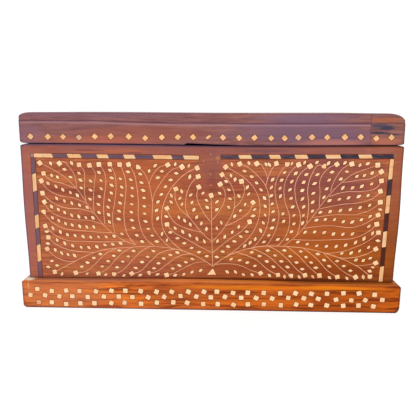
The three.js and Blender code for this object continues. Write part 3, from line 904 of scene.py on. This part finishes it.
right_middle = [
    [(220.2, 184.3, 35), (224.8, 191.3), (224, 202), (217.8, 213), (212, 220.5)],
    [(222.1, 174.7, 35), (228.6, 180.8), (234.3, 194), (234, 208), (225.4, 226), (212.3, 241.3)],
    [(241.5, 181.4, 15), (244.5, 188), (242, 199), (234, 208)],
    [(253, 202.6, 40), (249.6, 211), (235.6, 221.5), (225.4, 226)],
    [(249.6, 221.8, 15), (243.3, 229.5), (228, 240.3), (212.7, 252.7)],
]
right_low_bough = [(369.9, 276.8, 10), (362, 269.6), (350, 262.6), (328.5, 254.2), (304, 248.2), (287, 246.5),
                   (259, 246.7), (237, 252), (224, 258), (212.7, 266.4)]
right_high_bough = [(377.8, 165.1, 5), (368.7, 168.4), (355.3, 173), (342, 182.2), (327, 197.6), (311, 218.7),
                    (297, 235), (284, 245.7)]
right_top = [
    [(225.7, 167, 40), (233, 170.6), (244.5, 178), (254, 188), (259.5, 201.5), (259, 217), (252, 233.6),
     (239, 247), (224, 258)],
    [(239.8, 164, 25), (245.5, 166), (256, 174), (265.7, 186), (269.5, 206), (264, 233.6), (252, 248.3)],
    [(256.8, 163.7, 35), (259.2, 163.5), (264.3, 169.6), (267.5, 179.5)],
    [(276.4, 163.5, 20), (271.3, 170), (267.5, 179.8), (265.9, 185.5)],
    [(287.3, 164.4, 30), (281, 171.5), (275.3, 185.5), (276, 200), (279, 215), (276, 229), (266, 246.3)],
    [(298.7, 164.6, 20), (290.5, 172), (284.4, 186), (284.7, 200), (289.7, 218), (286, 235.5), (277.3, 246)],
    [(310.2, 166.3, 35), (302.4, 171.5), (295.5, 184), (296, 200.5), (300.3, 216), (297, 234.5)],
    [(323.8, 166.2, 15), (319.5, 165), (311.7, 174.8), (307.7, 189), (308.7, 205), (306.5, 223)],
    [(336.9, 164.3, 35), (327.8, 168.8), (320.5, 178.8), (320, 194), (319, 207)],
    [(351.9, 164, 15), (343, 168.4), (336.5, 176.8), (330.5, 191.5)],
]
right_side = [
    [(381.3, 171.8, 35), (372.7, 177.8), (359, 180.2), (342, 182.5)],
    [(381.5, 180.9, 10), (375.4, 188.5), (362, 191.4), (346, 191.9), (329.5, 196.6)],
    [(380.4, 191.4, 20), (374, 197.6), (360, 202.6), (343, 204.3), (319, 209.2)],
    [(380.3, 202.2, 8), (372.7, 208.6), (358.6, 214), (335, 214.7), (312, 218)],
    [(378.1, 215, 25), (368.7, 221.7), (355, 227), (328.5, 225.7), (304, 228.4)],
    [(376.8, 224.2, 12), (368.7, 231.4), (355.3, 237.8), (335, 239.6), (293, 239.5)],
    [(378.4, 232.7, 3), (370, 239.8), (355.3, 247.2), (342, 251.5), (324, 253.3)],
    [(375.8, 249, 30), (365.3, 254.5), (350, 257.9), (339, 257.8)],
    [(375.6, 263.1, 30), (367.3, 264.9), (355, 265.3)],
]
right_foot = [
    [(260.5, 273.2, 35), (251, 270.3), (239.4, 265.2), (226, 263.6), (216, 264.5)],
    [(278, 275, 10), (268.8, 270.3), (256, 259.7), (243.3, 254.3), (237, 252.5)],
    [(290.8, 276, 8), (281.5, 268), (268.8, 256.6), (252, 248.6)],
    [(305, 275.3, 20), (297.5, 270), (286.6, 258.5), (274.5, 249), (269, 246.4)],
    [(319.4, 275.6, 8), (309.7, 267.6), (297.7, 254.9), (287, 246.7)],
    [(337.3, 277, 15), (327.8, 271), (317, 259), (303, 248.2)],
    [(355.5, 277.2, 35), (346, 273.3), (335, 264.2), (324, 253.5)],
]
# Rows of lozenges between the fronds: points of a curve, how many stand evenly along it, and how far
# the first and the last lean
leaf_rows = [
    ([(64.8, 169.5), (70.7, 177.2)], 2, 160, 165),
    ([(78.9, 172.9), (80.4, 181), (81.3, 187.9)], 3, 145, 145),
    ([(90.6, 180.9), (90.1, 199)], 3, 145, 145),
    ([(99.1, 172.3), (101.2, 185), (98.6, 204), (99.1, 212.5)], 6, 145, 150),
    ([(110.2, 170.1), (111.8, 186), (108.4, 207.4), (109.6, 222.1)], 8, 155, 130),
    ([(120.4, 178.8), (121.9, 186.5), (119.9, 203.6), (118.4, 219)], 6, 140, 155),
    ([(128, 171.8), (132.5, 192), (131.2, 210), (134, 229.5), (142, 241.8)], 10, 155, 165),
    ([(140, 174.4), (144.2, 199), (146, 222.7), (157.1, 241.6)], 10, 165, 170),
    ([(161.9, 171.4), (158, 177.6)], 2, 0, 15), ([(162.2, 233.8), (166.9, 240.1)], 2, 75, 75),
    ([(176.2, 173.4), (161.9, 192.9), (156.6, 209.5), (157.7, 218.7)], 7, 0, 60),
    ([(51.6, 174.9), (57.6, 176.8)], 2, 115, 125),
    ([(48.6, 183.2), (62.2, 189.2), (77.4, 195.4)], 5, 120, 125),
    ([(56.7, 198.6), (70.6, 202.8), (87.4, 207.3)], 5, 115, 130),
    ([(51.6, 206.3), (63.8, 212.3), (93, 217.8)], 7, 118, 120),
    ([(52.3, 217.8), (64.5, 223.1), (93.8, 226.9)], 7, 115, 125),
    ([(53, 228.2), (66.7, 234.4), (82.3, 236.5), (114.1, 236.3)], 9, 112, 145),
    ([(57.4, 240.1), (71.3, 245.4), (88, 247.6), (103.9, 245.4), (120.9, 243.5)], 9, 115, 150),
    ([(55.4, 249.7), (62.6, 253.4), (74.5, 255.6)], 4, 115, 130),
    ([(81.4, 266.6), (100.2, 253.9)], 4, 0, 0), ([(102.4, 266.4), (119.4, 250.5)], 4, 175, 175),
    ([(117.2, 267.3), (133.8, 251)], 4, 175, 175), ([(136.1, 267.7), (153.5, 251)], 4, 175, 170),
    ([(153.9, 268.7), (169.6, 255.1), (177.3, 252.3)], 5, 0, -15),
    ([(172.6, 268.7), (192.3, 258.9)], 4, 165, 165),
    ([(191, 194.7), (194.1, 210.6), (206.5, 229.2)], 6, 45, 80),
    ([(206.5, 200.2), (207.4, 207.5)], 2, 145, 140), ([(178.8, 217), (190, 224.4)], 3, 105, 120),
    ([(175.2, 228), (189.5, 235.3), (204.4, 241.6)], 5, 125, 115),
    ([(170.6, 232.6), (183.5, 242.6), (206.9, 255.9)], 6, 5, 5),
    ([(226.2, 181.5), (229.3, 190.5), (230.1, 199.1), (228.5, 207.1)], 4, 155, 140),
    ([(221, 222.5), (216.8, 228.3)], 2, 110, 115), ([(217.1, 201.9), (216.8, 209.7)], 2, 35, 30),
    ([(245.1, 204.3), (240.8, 210.2), (234.5, 215.9)], 3, 70, 50),
    ([(254.5, 209.3), (253, 215.7)], 2, 25, 10),
    ([(239.1, 226.8), (224.9, 236.7), (217.7, 241.2)], 4, 70, 65),
    ([(247, 231.5), (233.3, 242.1), (216.7, 257)], 6, 165, 170),
    ([(244.5, 171.1), (258, 184.3), (264.8, 199.7), (264.7, 215.7), (260.5, 230.5)], 9, 165, 115),
    ([(255.3, 238.8), (250, 243.1), (244.5, 245.8)], 3, 70, 50),
    ([(272.8, 179.3), (271.2, 190.5), (273.1, 211.9), (272.3, 227.5), (264, 241.7)], 9, 50, 25),
    ([(284.5, 172.5), (280.3, 187.5), (280.5, 196.1)], 4, 30, 60),
    ([(282.9, 213.8), (283.9, 221.4)], 2, 50, 35),
    ([(296, 173.3), (290, 189.1), (292.5, 205), (294, 222.8), (287.3, 239.3)], 9, 40, 35),
    ([(306.3, 174.2), (302.2, 191), (303.5, 208), (302.5, 223.3)], 7, 35, 65),
    ([(317.2, 174.7), (313.8, 190), (312.7, 211)], 5, 25, 60),
    ([(331.8, 172.1), (326.3, 189.3), (324, 197.1)], 4, 20, 50),
    ([(347.1, 171.7), (340.8, 179)], 2, 0, 30),
    ([(356.8, 176.2), (363.7, 175.7), (372, 173.3)], 3, 40, 50),
    ([(342.8, 187.8), (352.3, 187.7), (371.7, 184)], 4, 45, 45),
    ([(329.9, 200.5), (349, 197.8), (368.2, 195.5)], 5, 30, 40),
    ([(320.3, 211.8), (349, 209.8), (369.8, 205.3)], 6, 40, 50),
    ([(316.3, 220.5), (334.8, 219.9), (343.8, 222), (370, 216.1)], 7, 30, 50),
    ([(305.3, 232.3), (315.3, 231.7), (333, 233.9), (352.2, 233.8)], 6, 40, 45),
    ([(298, 242.1), (328.2, 246.3), (346.9, 245.2), (372.3, 233.3)], 9, 30, 60),
    ([(342, 253.5), (359.8, 250.8), (368.5, 247.2)], 4, 35, 60),
    ([(355.9, 260.1), (362.9, 260.5), (370.2, 258)], 3, 40, 40),
    ([(231.2, 259.1), (239.1, 260.1), (254.9, 266)], 4, 20, 20),
    ([(252, 252.1), (265.7, 260.7), (273.2, 267)], 4, 10, -25),
    ([(267.9, 250.5), (280.5, 260.5), (287.1, 267.3)], 4, 0, -15),
    ([(284.3, 250.5), (295.9, 261.9), (302.1, 269)], 4, -10, 0),
    ([(301.1, 251.5), (316.2, 268)], 4, -15, -10), ([(317.7, 254.2), (329.5, 266)], 3, -20, -20),
    ([(337.3, 261), (350.3, 270.5)], 3, -5, 0),
]
# Lozenges outside the rows: a pixel and a lean
loose_leaves = [
    (50.6, 163.4, 120), (71.7, 163, 120), (149.2, 170.8, 80), (155.1, 165.9, 45), (175.4, 164, 75),
    (188.7, 166, 75), (231.9, 164.3, 115), (249, 163.3, 115), (266.3, 164.3, 115), (269.8, 164.5, 115),
    (292.2, 163.5, 60), (304.9, 162.7, 60), (316.9, 162.5, 50), (329, 163.2, 50), (345, 162.9, 50),
    (360.3, 165.1, 60), (368, 163.5, 35), (46.6, 231.4, 2), (47.9, 243.7, 175), (52, 261, 5),
    (57, 265.4, 0), (48.5, 267, 172), (61.8, 273.7, 55), (87, 273.8, 35), (105.9, 275, 30),
    (123.8, 275.3, 30), (140.2, 275.2, 25), (157.6, 274.5, 30), (175.2, 275.3, 25), (183.6, 274.2, 40),
    (192, 272, 45), (200.6, 270.3, 40), (227.3, 271.9, 130), (235.3, 272.2, 130), (243.7, 274.5, 140),
    (252, 274.5, 135), (269.5, 275.5, 130), (284.3, 276.8, 110), (299.2, 277, 128), (312.8, 277, 130),
    (329.5, 277.5, 135), (346.8, 278.3, 130), (363.3, 276.8, 95), (380.2, 209.5, 175),
    (377.7, 240.9, 170), (372.7, 267.5, 170), (369.7, 271.3, 165), (121.9, 233.9, 150),
    (190, 176.8, 75), (182, 191, 120), (180, 198.2, 45), (182, 204.6, 75), (171.5, 195.5, 120),
    (171.1, 202.2, 135), (203, 193.2, 40), (166.1, 216.6, 150), (219.9, 193.3, 145), (231, 175.2, 110),
    (235, 179.3, 78), (238.7, 196.1, 130), (247.3, 187.1, 65), (248.7, 193.7, 45), (278, 239.5, 35),
    (369.3, 226.5, 55),
]
# Squares with corners gone: a tip's pixel, and the share of a side cut off each corner, in the order
# lower left, lower right, upper right, upper left
broken_tips = {
    (138.4, 167): (0.05, 0.05, 0.5, 0.05), (43.5, 212): (0.5, 0.05, 0.05, 0.1),
    (114.1, 274.4): (0.35, 0.35, 0, 0), (148.4, 273): (0.62, 0.1, 0.1, 0.4),
    (287.3, 164.4): (0.2, 0.35, 0, 0), (323.8, 166.2): (0.3, 0.05, 0.05, 0.5),
    (290.8, 276): (0.5, 0.1, 0.05, 0.05), (369.9, 276.8): (0.3, 0.3, 0, 0),
}


def on_upright(pixels, y):
    """Pixels of the photograph as (x, z) on the upright plane at y: each line of sight is followed
    from the eye until it meets the plane."""
    right, up, forward = sight_axes()
    slope = (np.asarray(pixels, float) - picture_width / 2) / pixels_per_slope
    sight = forward + slope[..., :1] * right - slope[..., 1:2] * up
    reach = (y - eye[1]) / sight[..., 1:2]
    return (eye + sight * reach)[..., [0, 2]]


def smooth_line(corners, step=0.7 * mm):
    """A curve through the corners: between two of them it is the cubic whose slopes at both are the
    mean slopes of their neighbours, by chord length, and it is cut into even steps."""
    chord = np.linalg.norm(np.diff(corners, axis=0), axis=1)
    at = np.concatenate([[0], np.cumsum(chord)])
    slope = np.gradient(corners, at, axis=0, edge_order=2 if len(corners) > 2 else 1)
    wanted = np.linspace(0, at[-1], max(4, round(at[-1] / step) + 1))
    left = np.clip(np.searchsorted(at, wanted, side="right") - 1, 0, len(chord) - 1)
    length = chord[left][:, None]
    t = (wanted - at[left])[:, None] / length
    return ((2 * t ** 3 - 3 * t ** 2 + 1) * corners[left] + (t ** 3 - 2 * t ** 2 + t) * length * slope[left]
            + (3 * t ** 2 - 2 * t ** 3) * corners[left + 1] + (t ** 3 - t ** 2) * length * slope[left + 1])


def wire(line, half, proud, side, sunk=0.6 * mm):
    """A bone wire: a flat six-sided section, its top edges broken, carried along the line."""
    along = np.gradient(line, axis=0)
    along = along / np.linalg.norm(along, axis=1, keepdims=True)
    across = np.stack([-along[:, 1], along[:, 0]], 1)
    edge, top = proud * wire_edge_share, half * wire_top_share
    section = np.array([
        (-half, -sunk), (half, -sunk), (half, edge), (top, proud), (-top, proud), (-half, edge)])
    flat = line[:, None] + across[:, None] * -section[None, :, :1]
    height = np.broadcast_to(section[:, 1], flat.shape[:2])
    points = on_side(side, flat, height).reshape(-1, 3)
    count, ring = len(line), np.arange(6)
    start = np.arange(count - 1)[:, None] * 6
    after = np.roll(ring, -1)
    quads = np.stack([start + ring, start + after, start + after + 6, start + ring + 6], -1)
    return points, quads.reshape(-1, 4), np.stack([ring[::-1], ring + (count - 1) * 6])


def joined(parts):
    """Several (points, sides, ends) as one mesh: a part's faces count on from the points before it."""
    points, quads, caps = zip(*parts)
    starts = np.cumsum([0] + [len(part) for part in points])
    all_quads = np.concatenate([part + start for part, start in zip(quads, starts)])
    all_caps = np.concatenate([part + start for part, start in zip(caps, starts)])
    return np.concatenate(points), all_quads.tolist() + all_caps.tolist()


def turned(shapes, places, degrees, sizes=1.0):
    """Outlines about the origin, each turned, enlarged and moved to its own place."""
    angle = np.radians(degrees)
    spin = np.array([[np.cos(angle), -np.sin(angle)], [np.sin(angle), np.cos(angle)]]).transpose(2, 0, 1)
    sizes = np.broadcast_to(sizes, len(angle))[:, None, None]
    return np.asarray(places)[:, None] + np.einsum("nij,nmj->nmi", spin, shapes) * sizes


def cut_squares(cuts):
    """Squares of side 1 about the origin, with eight corners each: every corner is cut off by a share
    of the side, in the order lower left, lower right, upper right, upper left."""
    corner = np.array(corner_signs) / 2
    share = np.asarray(cuts)[..., None]
    before = corner + share * (np.roll(corner, 1, 0) - corner)
    after = corner + share * (np.roll(corner, -1, 0) - corner)
    return np.stack([before, after], 2).reshape(-1, 8, 2)


def hand_cut(count, side_length):
    """Squares as a hand cuts them: sides a little unequal, corners a little blunt."""
    squares = cut_squares(chance.uniform(0.03, 0.13, (count, 4)))
    return squares * chance.uniform(0.93, 1.06, (count, 1, 2)) * side_length


def show_slips(name, outlines, side, material, tones, proud=slip_proud, bevel=slip_bevel, bend=None):
    """Bone slips on a side of the box, each in a tone of its own, bent as their board is."""
    points, faces = slips(outlines, proud, bevel, side)
    tone = np.repeat(tones, len(points) // len(outlines))
    show(name, bend(points) if bend else points, faces, material, "bone", attributes={"tone": tone})


def row_places(pixels, count, first_lean, last_lean):
    """Places and leans of the lozenges of one row: even steps along a smooth curve on the front."""
    line = smooth_line(on_upright(pixels, body_face), 0.3 * mm)
    walked = np.concatenate([[0], np.cumsum(np.linalg.norm(np.diff(line, axis=0), axis=1))])
    at = np.linspace(0, walked[-1], count)
    places = np.stack([np.interp(at, walked, line[:, axis]) for axis in (0, 1)], 1)
    return places, np.linspace(first_lean, last_lean, count)


fronds = [stem, left_low_bough, left_high_bough, *left_top, *left_side, *left_foot, *left_middle,
          *right_middle, right_low_bough, right_high_bough, *right_top, *right_side, *right_foot]
lines = [smooth_line(on_upright([point[:2] for point in frond], body_face)) for frond in fronds]
tips = np.array([line[0] for line in lines])
tip_turns = [0 if frond[0][:2] in broken_tips else frond[0][2] for frond in fronds]

rows = [row_places(*row) for row in leaf_rows]
loose_places = on_upright([leaf[:2] for leaf in loose_leaves], body_face)
leaf_places = np.concatenate([loose_places, *(row[0] for row in rows)])
leaf_leans = np.concatenate([[leaf[2] for leaf in loose_leaves], *(row[1] for row in rows)])
leaf_count = len(leaf_places)
leaf_places += chance.normal(0, 0.15, leaf_places.shape) * mm
leaf_leans = leaf_leans + chance.normal(0, 5, leaf_count)
leaf_sizes = chance.uniform(0.9, 1.1, leaf_count)
on_corner = turned(cut_squares(chance.uniform(0.04, 0.16, (leaf_count, 4))), np.zeros((leaf_count, 2)),
                   np.full(leaf_count, 45)) / math.sqrt(2)
lozenges = on_corner * (leaf_long, leaf_wide) * chance.uniform(0.92, 1.08, (leaf_count, 1, 2))
leaf_outlines = turned(lozenges, leaf_places, leaf_leans, leaf_sizes)
leaf_tones = np.clip(chance.normal(0.1, 0.16, leaf_count), 0, 0.8)

bone_pale = bone("bone_slips", "X", shade(252, 212, 168), shade(246, 196, 142), shade(216, 148, 104))
bone_wire = bone("bone_wire", "X", shade(246, 190, 156), shade(232, 168, 128), shade(200, 110, 70))
show("fern_wires", *joined([
    wire(line, wire_half * chance.uniform(0.85, 1.15), wire_proud * chance.uniform(0.8, 1.2), "front")
    for line in lines
]), bone_wire, "bone")
show_slips("fern_leaves", leaf_outlines, "front", bone_pale, leaf_tones,
           chance.uniform(0.06, 0.1, leaf_count) * mm, leaf_bevel)
show_glue("fern_leaf_glue", turned(lozenges * leaf_bed, leaf_places, leaf_leans, leaf_sizes), "front")
tip_squares = hand_cut(len(tips), square_side)
for index, frond in enumerate(fronds):
    if frond[0][:2] in broken_tips:
        tip_squares[index] = cut_squares([broken_tips[frond[0][:2]]])[0] * square_side
tip_outlines = turned(tip_squares, tips, tip_turns)
tip_tones = np.clip(chance.normal(0.08, 0.14, len(tips)), 0, 0.8)
show_slips("fern_squares", tip_outlines, "front", bone_pale, tip_tones,
           chance.uniform(0.08, 0.11, len(tips)) * mm)
show_glue("fern_square_glue", turned(tip_squares * square_bed, tips, tip_turns), "front", glue_proud * 1.2)
foot_triangle = on_upright([(207, 274.7), (216.1, 274.7), (212.7, 268.7)], body_face)
show("fern_foot_triangle", *slips(foot_triangle[None], 0.1 * mm, 0.1 * mm, "front"), bone_pale, "bone")


# Small repairs in the front: an old pin in its upper left corner, a grey ring with a pale middle, and
# the pale fillings of five nail holes where the lock's plate was.
def discs(pixels, radius, proud):
    """Round slips of sixteen corners at pixels of the photograph."""
    angle = np.linspace(0, 2 * np.pi, 16, endpoint=False)
    circle = np.stack([np.cos(angle), np.sin(angle)], 1) * radius
    outlines = on_upright(pixels, body_face)[:, None] + circle
    return slips(outlines, proud, 0.02 * mm, "front")


pin_grey, *_ = fresh_material("old_pin", {"Base Color": shade(104, 78, 88), "Roughness": 0.5})
filler, *_ = fresh_material("nail_hole_filler", {"Base Color": shade(196, 132, 108), "Roughness": 0.7})
show("corner_pin_ring", *discs([(31.7, 155.3)], 1.75 * mm, 0.04 * mm), pin_grey, "ebony")
show("corner_pin_middle", *discs([(31.9, 155.3)], 0.8 * mm, 0.06 * mm), filler, "bone")
nail_holes = [(203.5, 161.3), (217.9, 161.7), (210.7, 174.5), (211, 185.3), (210.7, 154)]
show("nail_hole_fillings", *discs(nail_holes, 0.5 * mm, 0.02 * mm), filler, "bone")


# Diamonds along the lid: squares of bone set on their corners, at the front as the photograph shows
# them, one broken down to a sliver and one chipped, and in even steps along the ends.
lid_diamond_side = 3.75 * mm
lid_diamond_height = 143.8 * mm
lid_diamonds = [
    (30.4, 136.5), (47.8, 136.8), (63, 136.8), (79, 137.4), (94.8, 136.6), (110.7, 136.3),
    (128.7, 136.6), (145.2, 138.1), (161.8, 137.3), (177.8, 137.2), (193.1, 137.2), (208.4, 137.1),
    (222.9, 137.6), (239.1, 138), (254.5, 137.8), (271.2, 138.2), (284.7, 138.3), (298.4, 137.6),
    (312.1, 137.3), (327.3, 137.5), (344.9, 137.2), (360.8, 137.1), (376.4, 138.5), (391.5, 137.5),
]
diamond_turns = [
    48, 40, 45, 42, 47, 40, 44, 46, 43, 47, 42, 40, 45, 45, 42, 44, 46, 52, 44, 43, 44, 50, 42, 50,
]
diamond_tones = [
    0.3, 0.15, 0.3, 0.9, 0, 0.2, 0, 0.1, 0, 0.2, 0.1, 0.1, 0.2, 0.1, 0.1, 0.3, 0.2, 0.8, 0.2, 0.2, 0.2,
    0.3, 0.1, 0.3,
]
# The chipped one and the sliver: the share of a side cut off each corner, and the size along both sides
broken_diamonds = {3: ((0.05, 0.1, 0.3, 0.05), (1, 1)), 11: ((0.3, 0.1, 0.3, 0.1), (1.15, 0.5))}
bone_lid = bone("bone_diamonds", "X", shade(242, 186, 132), shade(230, 172, 106), shade(200, 160, 130))
end_diamonds = 12
end_steps = np.linspace(-88, 88, end_diamonds) * mm


def diamond_row(side, places, turns, tones):
    """A row of diamonds and their glue on one side of the lid."""
    squares = hand_cut(len(places), lid_diamond_side)
    if side == "front":
        for index, (cuts, shrink) in broken_diamonds.items():
            squares[index] = cut_squares([cuts])[0] * shrink * lid_diamond_side
    bend = None if side == "front" else leaned
    show_slips("lid_diamonds_" + side, turned(squares, places, turns), side, bone_lid, tones, bend=bend)
    show_glue(f"lid_diamonds_{side}_glue", turned(squares * square_bed, places, turns), side, bend=bend)


diamond_row("front", on_upright(lid_diamonds, body_face), diamond_turns, diamond_tones)
for side in ("left", "right"):
    end_places = np.stack([end_steps, np.full(end_diamonds, lid_diamond_height)], 1)
    end_turns = 45 + chance.normal(0, 4, end_diamonds)
    diamond_row(side, end_places, end_turns, chance.uniform(0, 0.4, end_diamonds))


# Squares round the plinth: three rows of bone, the middle row set half a space along, each turned a
# little by the hand that set it. The front ones stand where the photograph shows them.
plinth_square_side = 3.8 * mm
plinth_front_rows = {
    "top": [
        (37.3, 289, 0), (51.8, 290.8, -4), (66.1, 290.4, 14), (79.4, 291.1, -4), (95.9, 291.5, -22),
        (111.5, 290.8, -15), (125.3, 290.8, 0), (140.7, 291.1, -17), (156.5, 291.8, -22),
        (171.7, 291.8, -25), (188.4, 291.8, -25), (204, 291.8, -25), (216.9, 291.7, 0),
        (233, 292.9, -15), (247.8, 292.7, -5), (263.7, 292.9, -5), (280.2, 293.3, 5),
        (295.5, 293.3, -22), (311.4, 293.8, -20), (327, 293.8, 0), (343.5, 293.3, 5),
        (359.1, 293.4, 15), (374.7, 294.8, -3),
    ],
    "middle": [
        (30.5, 294.9, -12), (45.1, 295.3, -15), (59.4, 296.3, -15), (72.3, 296.3, -3), (87.7, 296.9, 0),
        (103.9, 296.5, -20), (118.8, 296.5, 3), (132.4, 297.1, -3), (148.1, 297.3, -30),
        (164.2, 296.9, -30), (180.5, 296, 3), (196.3, 296.6, -20), (210.8, 297.4, 0),
        (224.9, 296.9, -20), (241.2, 297.7, 3), (256.1, 298, -25), (272.1, 298.5, -25),
        (288.2, 298, -12), (303.8, 298.3, -20), (318.2, 298.9, -20), (336, 299.7, 15),
        (351.3, 300.4, -5), (365.3, 300.2, -25), (382.3, 299.9, -3),
    ],
    "foot": [
        (38.8, 302.1, 0), (51.8, 302.3, -3), (66.2, 304, 3), (80.4, 303.3, 0), (94.4, 303.3, -3),
        (111.3, 303, -20), (124.6, 302.6, -10), (141.1, 303.8, -5), (156.9, 302.6, -10),
        (173.3, 302.3, -5), (187.2, 302.8, -25), (203.2, 304, 3), (217.7, 304.1, -3),
        (233.5, 304.8, -25), (247.8, 304.3, 3), (263.8, 304.3, -5), (280.8, 305.3, -5),
        (296.2, 304.5, -20), (310.8, 305.1, -15), (326.7, 305.5, -15), (343.2, 305.8, 10),
        (358.5, 305.6, 5), (373.3, 306.5, -10),
    ],
}
plinth_end_rows = ((16.4, -92, 92, 12), (10.9, -84, 84, 11), (5.6, -92, 92, 12))


def plinth_squares(side, places, turns, tones):
    """The squares of one side of the plinth, and their glue."""
    squares = hand_cut(len(places), plinth_square_side)
    beds = turned(squares * square_bed, places, turns)
    show_slips("plinth_squares_" + side, turned(squares, places, turns), "plinth_" + side, bone_pale, tones)
    show_glue("plinth_square_glue_" + side, beds, "plinth_" + side)


front_squares = np.array(sum(plinth_front_rows.values(), []))
front_tones = np.clip(chance.normal(0.08, 0.12, len(front_squares)), 0, 0.6)
worn_square = len(plinth_front_rows["top"]) + len(plinth_front_rows["middle"])
front_tones[worn_square] = 0.9
front_places = on_upright(front_squares[:, :2], plinth_face + slip_room)
plinth_squares("front", front_places, front_squares[:, 2], front_tones)
for side in ("left", "right"):
    end_places = np.concatenate([
        np.stack([np.linspace(first, last, count), np.full(count, height)], 1)
        for height, first, last, count in plinth_end_rows]) * mm
    end_places += chance.normal(0, 0.4, end_places.shape) * mm
    end_turns = chance.uniform(-22, 22, len(end_places))
    plinth_squares(side, end_places, end_turns, chance.uniform(0, 0.3, len(end_places)))


# The ends of the body: a border alone, plainer than the front. Strips of bone and ebony in turn,
# with slanted ends and a thin joint between two of them, set in dark glue.
end_border_half = 91.5 * mm
end_border_foot = 26 * mm
end_border_top = 128.6 * mm
end_strip_wide = 3.1 * mm
end_strip_pieces = {"across": 8, "upright": 5}
end_slant = 1.2 * mm
end_strip_proud = 0.07 * mm
end_strip_bevel = 0.06 * mm
end_bed = 1.03
joint_line = 0.35 * mm


def strip_run(low, high, count, near):
    """Outlines of one run as (along, across): even pieces from low to high with slanted ends, a thin
    joint between two of them, and the run's one side at near."""
    cuts = np.linspace(low, high, count + 1)
    lean = np.full(count + 1, end_slant)
    lean[[0, -1]] = 0
    first, last = cuts[:-1] + joint_line, cuts[1:]
    along = np.stack([first, last, last + lean[1:], first + lean[:-1]], 1)
    across = np.broadcast_to([near, near, near + end_strip_wide, near + end_strip_wide], along.shape)
    return np.stack([along, across], 2)


def end_strips():
    """Outlines of the border's strips: runs along the foot and the top, and up each side between."""
    level_runs = [strip_run(-end_border_half, end_border_half, end_strip_pieces["across"], near)
                  for near in (end_border_foot, end_border_top - end_strip_wide)]
    upright_runs = [strip_run(end_border_foot + end_strip_wide, end_border_top - end_strip_wide,
                              end_strip_pieces["upright"], near)[:, ::-1, ::-1]
                    for near in (-end_border_half, end_border_half - end_strip_wide)]
    return np.concatenate(level_runs + upright_runs)


bone_ends = bone("bone_ends", "Y", bone_ground, bone_core, bone_grey)
ebony_ends = ebony("ebony_ends", "Y")
strip_outlines = end_strips()
is_bone = np.arange(len(strip_outlines)) % 2 == 0
for side in ("left", "right"):
    for name, outlines, material, slot in (
            ("bone", strip_outlines[is_bone], bone_ends, "bone"),
            ("ebony", strip_outlines[~is_bone], ebony_ends, "ebony")):
        strip_points, strip_faces = slips(outlines, end_strip_proud, end_strip_bevel, side)
        show(f"end_border_{side}_{name}", bowed(strip_points), strip_faces, material, slot)
    centre = strip_outlines.mean(1, keepdims=True)
    beds = centre + (strip_outlines - centre) * end_bed
    show_glue(f"end_border_{side}_glue", beds, side, bend=bowed)
